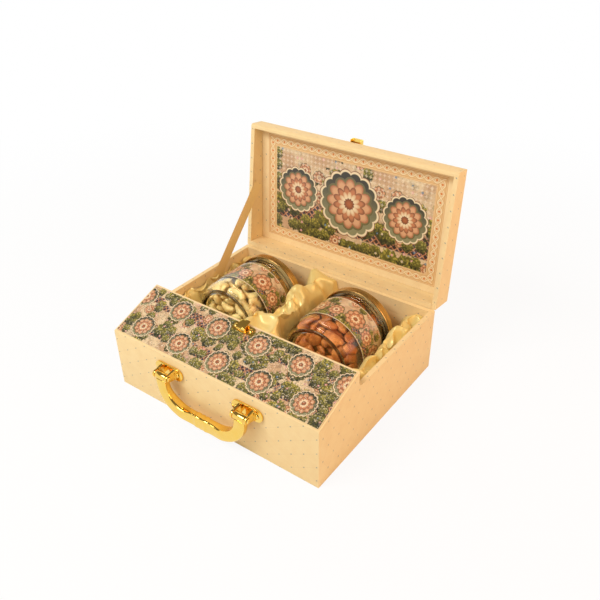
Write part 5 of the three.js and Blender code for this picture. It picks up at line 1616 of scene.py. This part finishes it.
inner = [vert for vert in satin_bm.verts if not vert.is_boundary]
for _ in range(SMOOTHINGS):
    bmesh.ops.smooth_vert(
        satin_bm, verts=inner, factor=0.5, use_axis_x=True, use_axis_y=True, use_axis_z=True)
bmesh.ops.subdivide_edges(satin_bm, edges=satin_bm.edges, cuts=1, use_grid_fill=True)
satin_bm.normal_update()
for vert in satin_bm.verts:
    if not vert.is_boundary:
        x, y, z = vert.co
        fold = ROLL_DEPTH * roll_drop(x, y) * softly(z, ROLL_LOW, ROLL_HIGH) + CREASE_DEPTH * crease(x, y)
        vert.co = above_bed(vert.co - vert.normal * fold)
for vert in satin_bm.verts:
    point = vert.co
    point.x = min(max(point.x, SATIN_X[0]), SATIN_X[1])
    point.y = min(max(point.y, SATIN_Y[0]), SATIN_Y[1])
    under_lid = RIM_HEIGHT - LID_AIR + LID_RISE * max(0.0, point.y - LID_WALL_INSIDE)
    point.z = min(max(point.z, WELL_FLOOR + WELL_AIR), under_lid)
satin_area = sum(face.calc_area() for face in satin_bm.faces) * MM * MM
satin = piece(satin_bm, "satin_nest", satin_finish, "case", ("satin_lining",), 180)
rounding = satin.modifiers.new("rounding", "SUBSURF")
rounding.levels = 1
rounding.render_levels = 1

# %% [markdown]
# ## Ribbon stay
#
# A flat satin ribbon is glued to the left walls of case and lid and keeps the lid from falling back. It is
# taut when the lid is open. When the lid shuts, the ribbon folds into the case, so the strip is cut into
# many short lengths.

# %% Ribbon stay
RIBBON_WIDTH, RIBBON_THICK, RIBBON_X = 15.0, 0.5, -124.7
RIBBON_STEPS, RIBBON_CUP = 72, 0.35
RIBBON_ON_LID, RIBBON_FROM_CARD = -78.0, 8.8
ribbon_low = Vector((0, 38.6, 52.6))
glued_height = lid_height(RIBBON_ON_LID) - LID_CARD_DROP - RIBBON_FROM_CARD
ribbon_high = LID_PLACE @ Vector((0, RIBBON_ON_LID, glued_height))
ribbon_run = ribbon_high - ribbon_low
ribbon_length = ribbon_run.length
ribbon_bm = bmesh.new()
bmesh.ops.create_grid(ribbon_bm, x_segments=RIBBON_STEPS, y_segments=8, size=0.5)
ribbon_layer = ribbon_bm.loops.layers.uv.new("UVMap")
for face in ribbon_bm.faces:
    for loop in face.loops:
        place = loop.vert.co
        loop[ribbon_layer].uv = (place.x * ribbon_length * MM, place.y * RIBBON_WIDTH * MM)
ribbon_across = ribbon_run.normalized().cross(Vector((1, 0, 0)))
for vert in ribbon_bm.verts:
    t, s = vert.co.x + 0.5, vert.co.y
    cup = RIBBON_CUP * (1 - (2 * s) ** 2) * math.sin(math.pi * t)
    vert.co = ribbon_low + ribbon_run * t + ribbon_across * (s * RIBBON_WIDTH)
    vert.co.x = RIBBON_X + cup
bmesh.ops.solidify(ribbon_bm, geom=ribbon_bm.faces, thickness=-RIBBON_THICK)
bmesh.ops.recalc_face_normals(ribbon_bm, faces=ribbon_bm.faces)

ribbon_finish, w, sockets = new_finish("gold_ribbon", Roughness=0.45, Specular_IOR_Level=0.3)
thread = w.uv()
fine_u, fine_v, _ = w.split(thread)
weave = w.cloud(w.join(w.times(fine_u, 4200.0), w.times(fine_v, 900.0)), 1.0, 2.0)
w.feed(sockets["Base Color"], w.mix(weave, tone("f3d48c"), tone("fae4ac")))
w.feed(sockets["Normal"], w.bump(weave, 0.15, 0.0002))
ribbon = piece(ribbon_bm, "ribbon_stay_strip", ribbon_finish, None, ("ribbon_stay",), 60)
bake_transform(ribbon)
print("ribbon length", round(ribbon_length, 1), "mm")

# %% [markdown]
# ## Cap liners
#
# A disc of pulp card sits inside each cap and seals the jar. It keeps its CAD shape and gets a plain card
# finish with a little fibre in it.

# %% Cap liners
liner_finish, w, sockets = new_finish("white_liner_card", Roughness=0.7)
fibre = w.cloud(w.place(), 800.0, 4.0)
w.feed(sockets["Base Color"], w.mix(fibre, tone("d9d2c2"), tone("f2eee2")))
w.feed(sockets["Normal"], w.bump(fibre, 0.3, 0.0003))
for side in JARS:
    materials = nodes["cap_liner_%s" % side].data.materials
    materials.clear()
    materials.append(liner_finish)
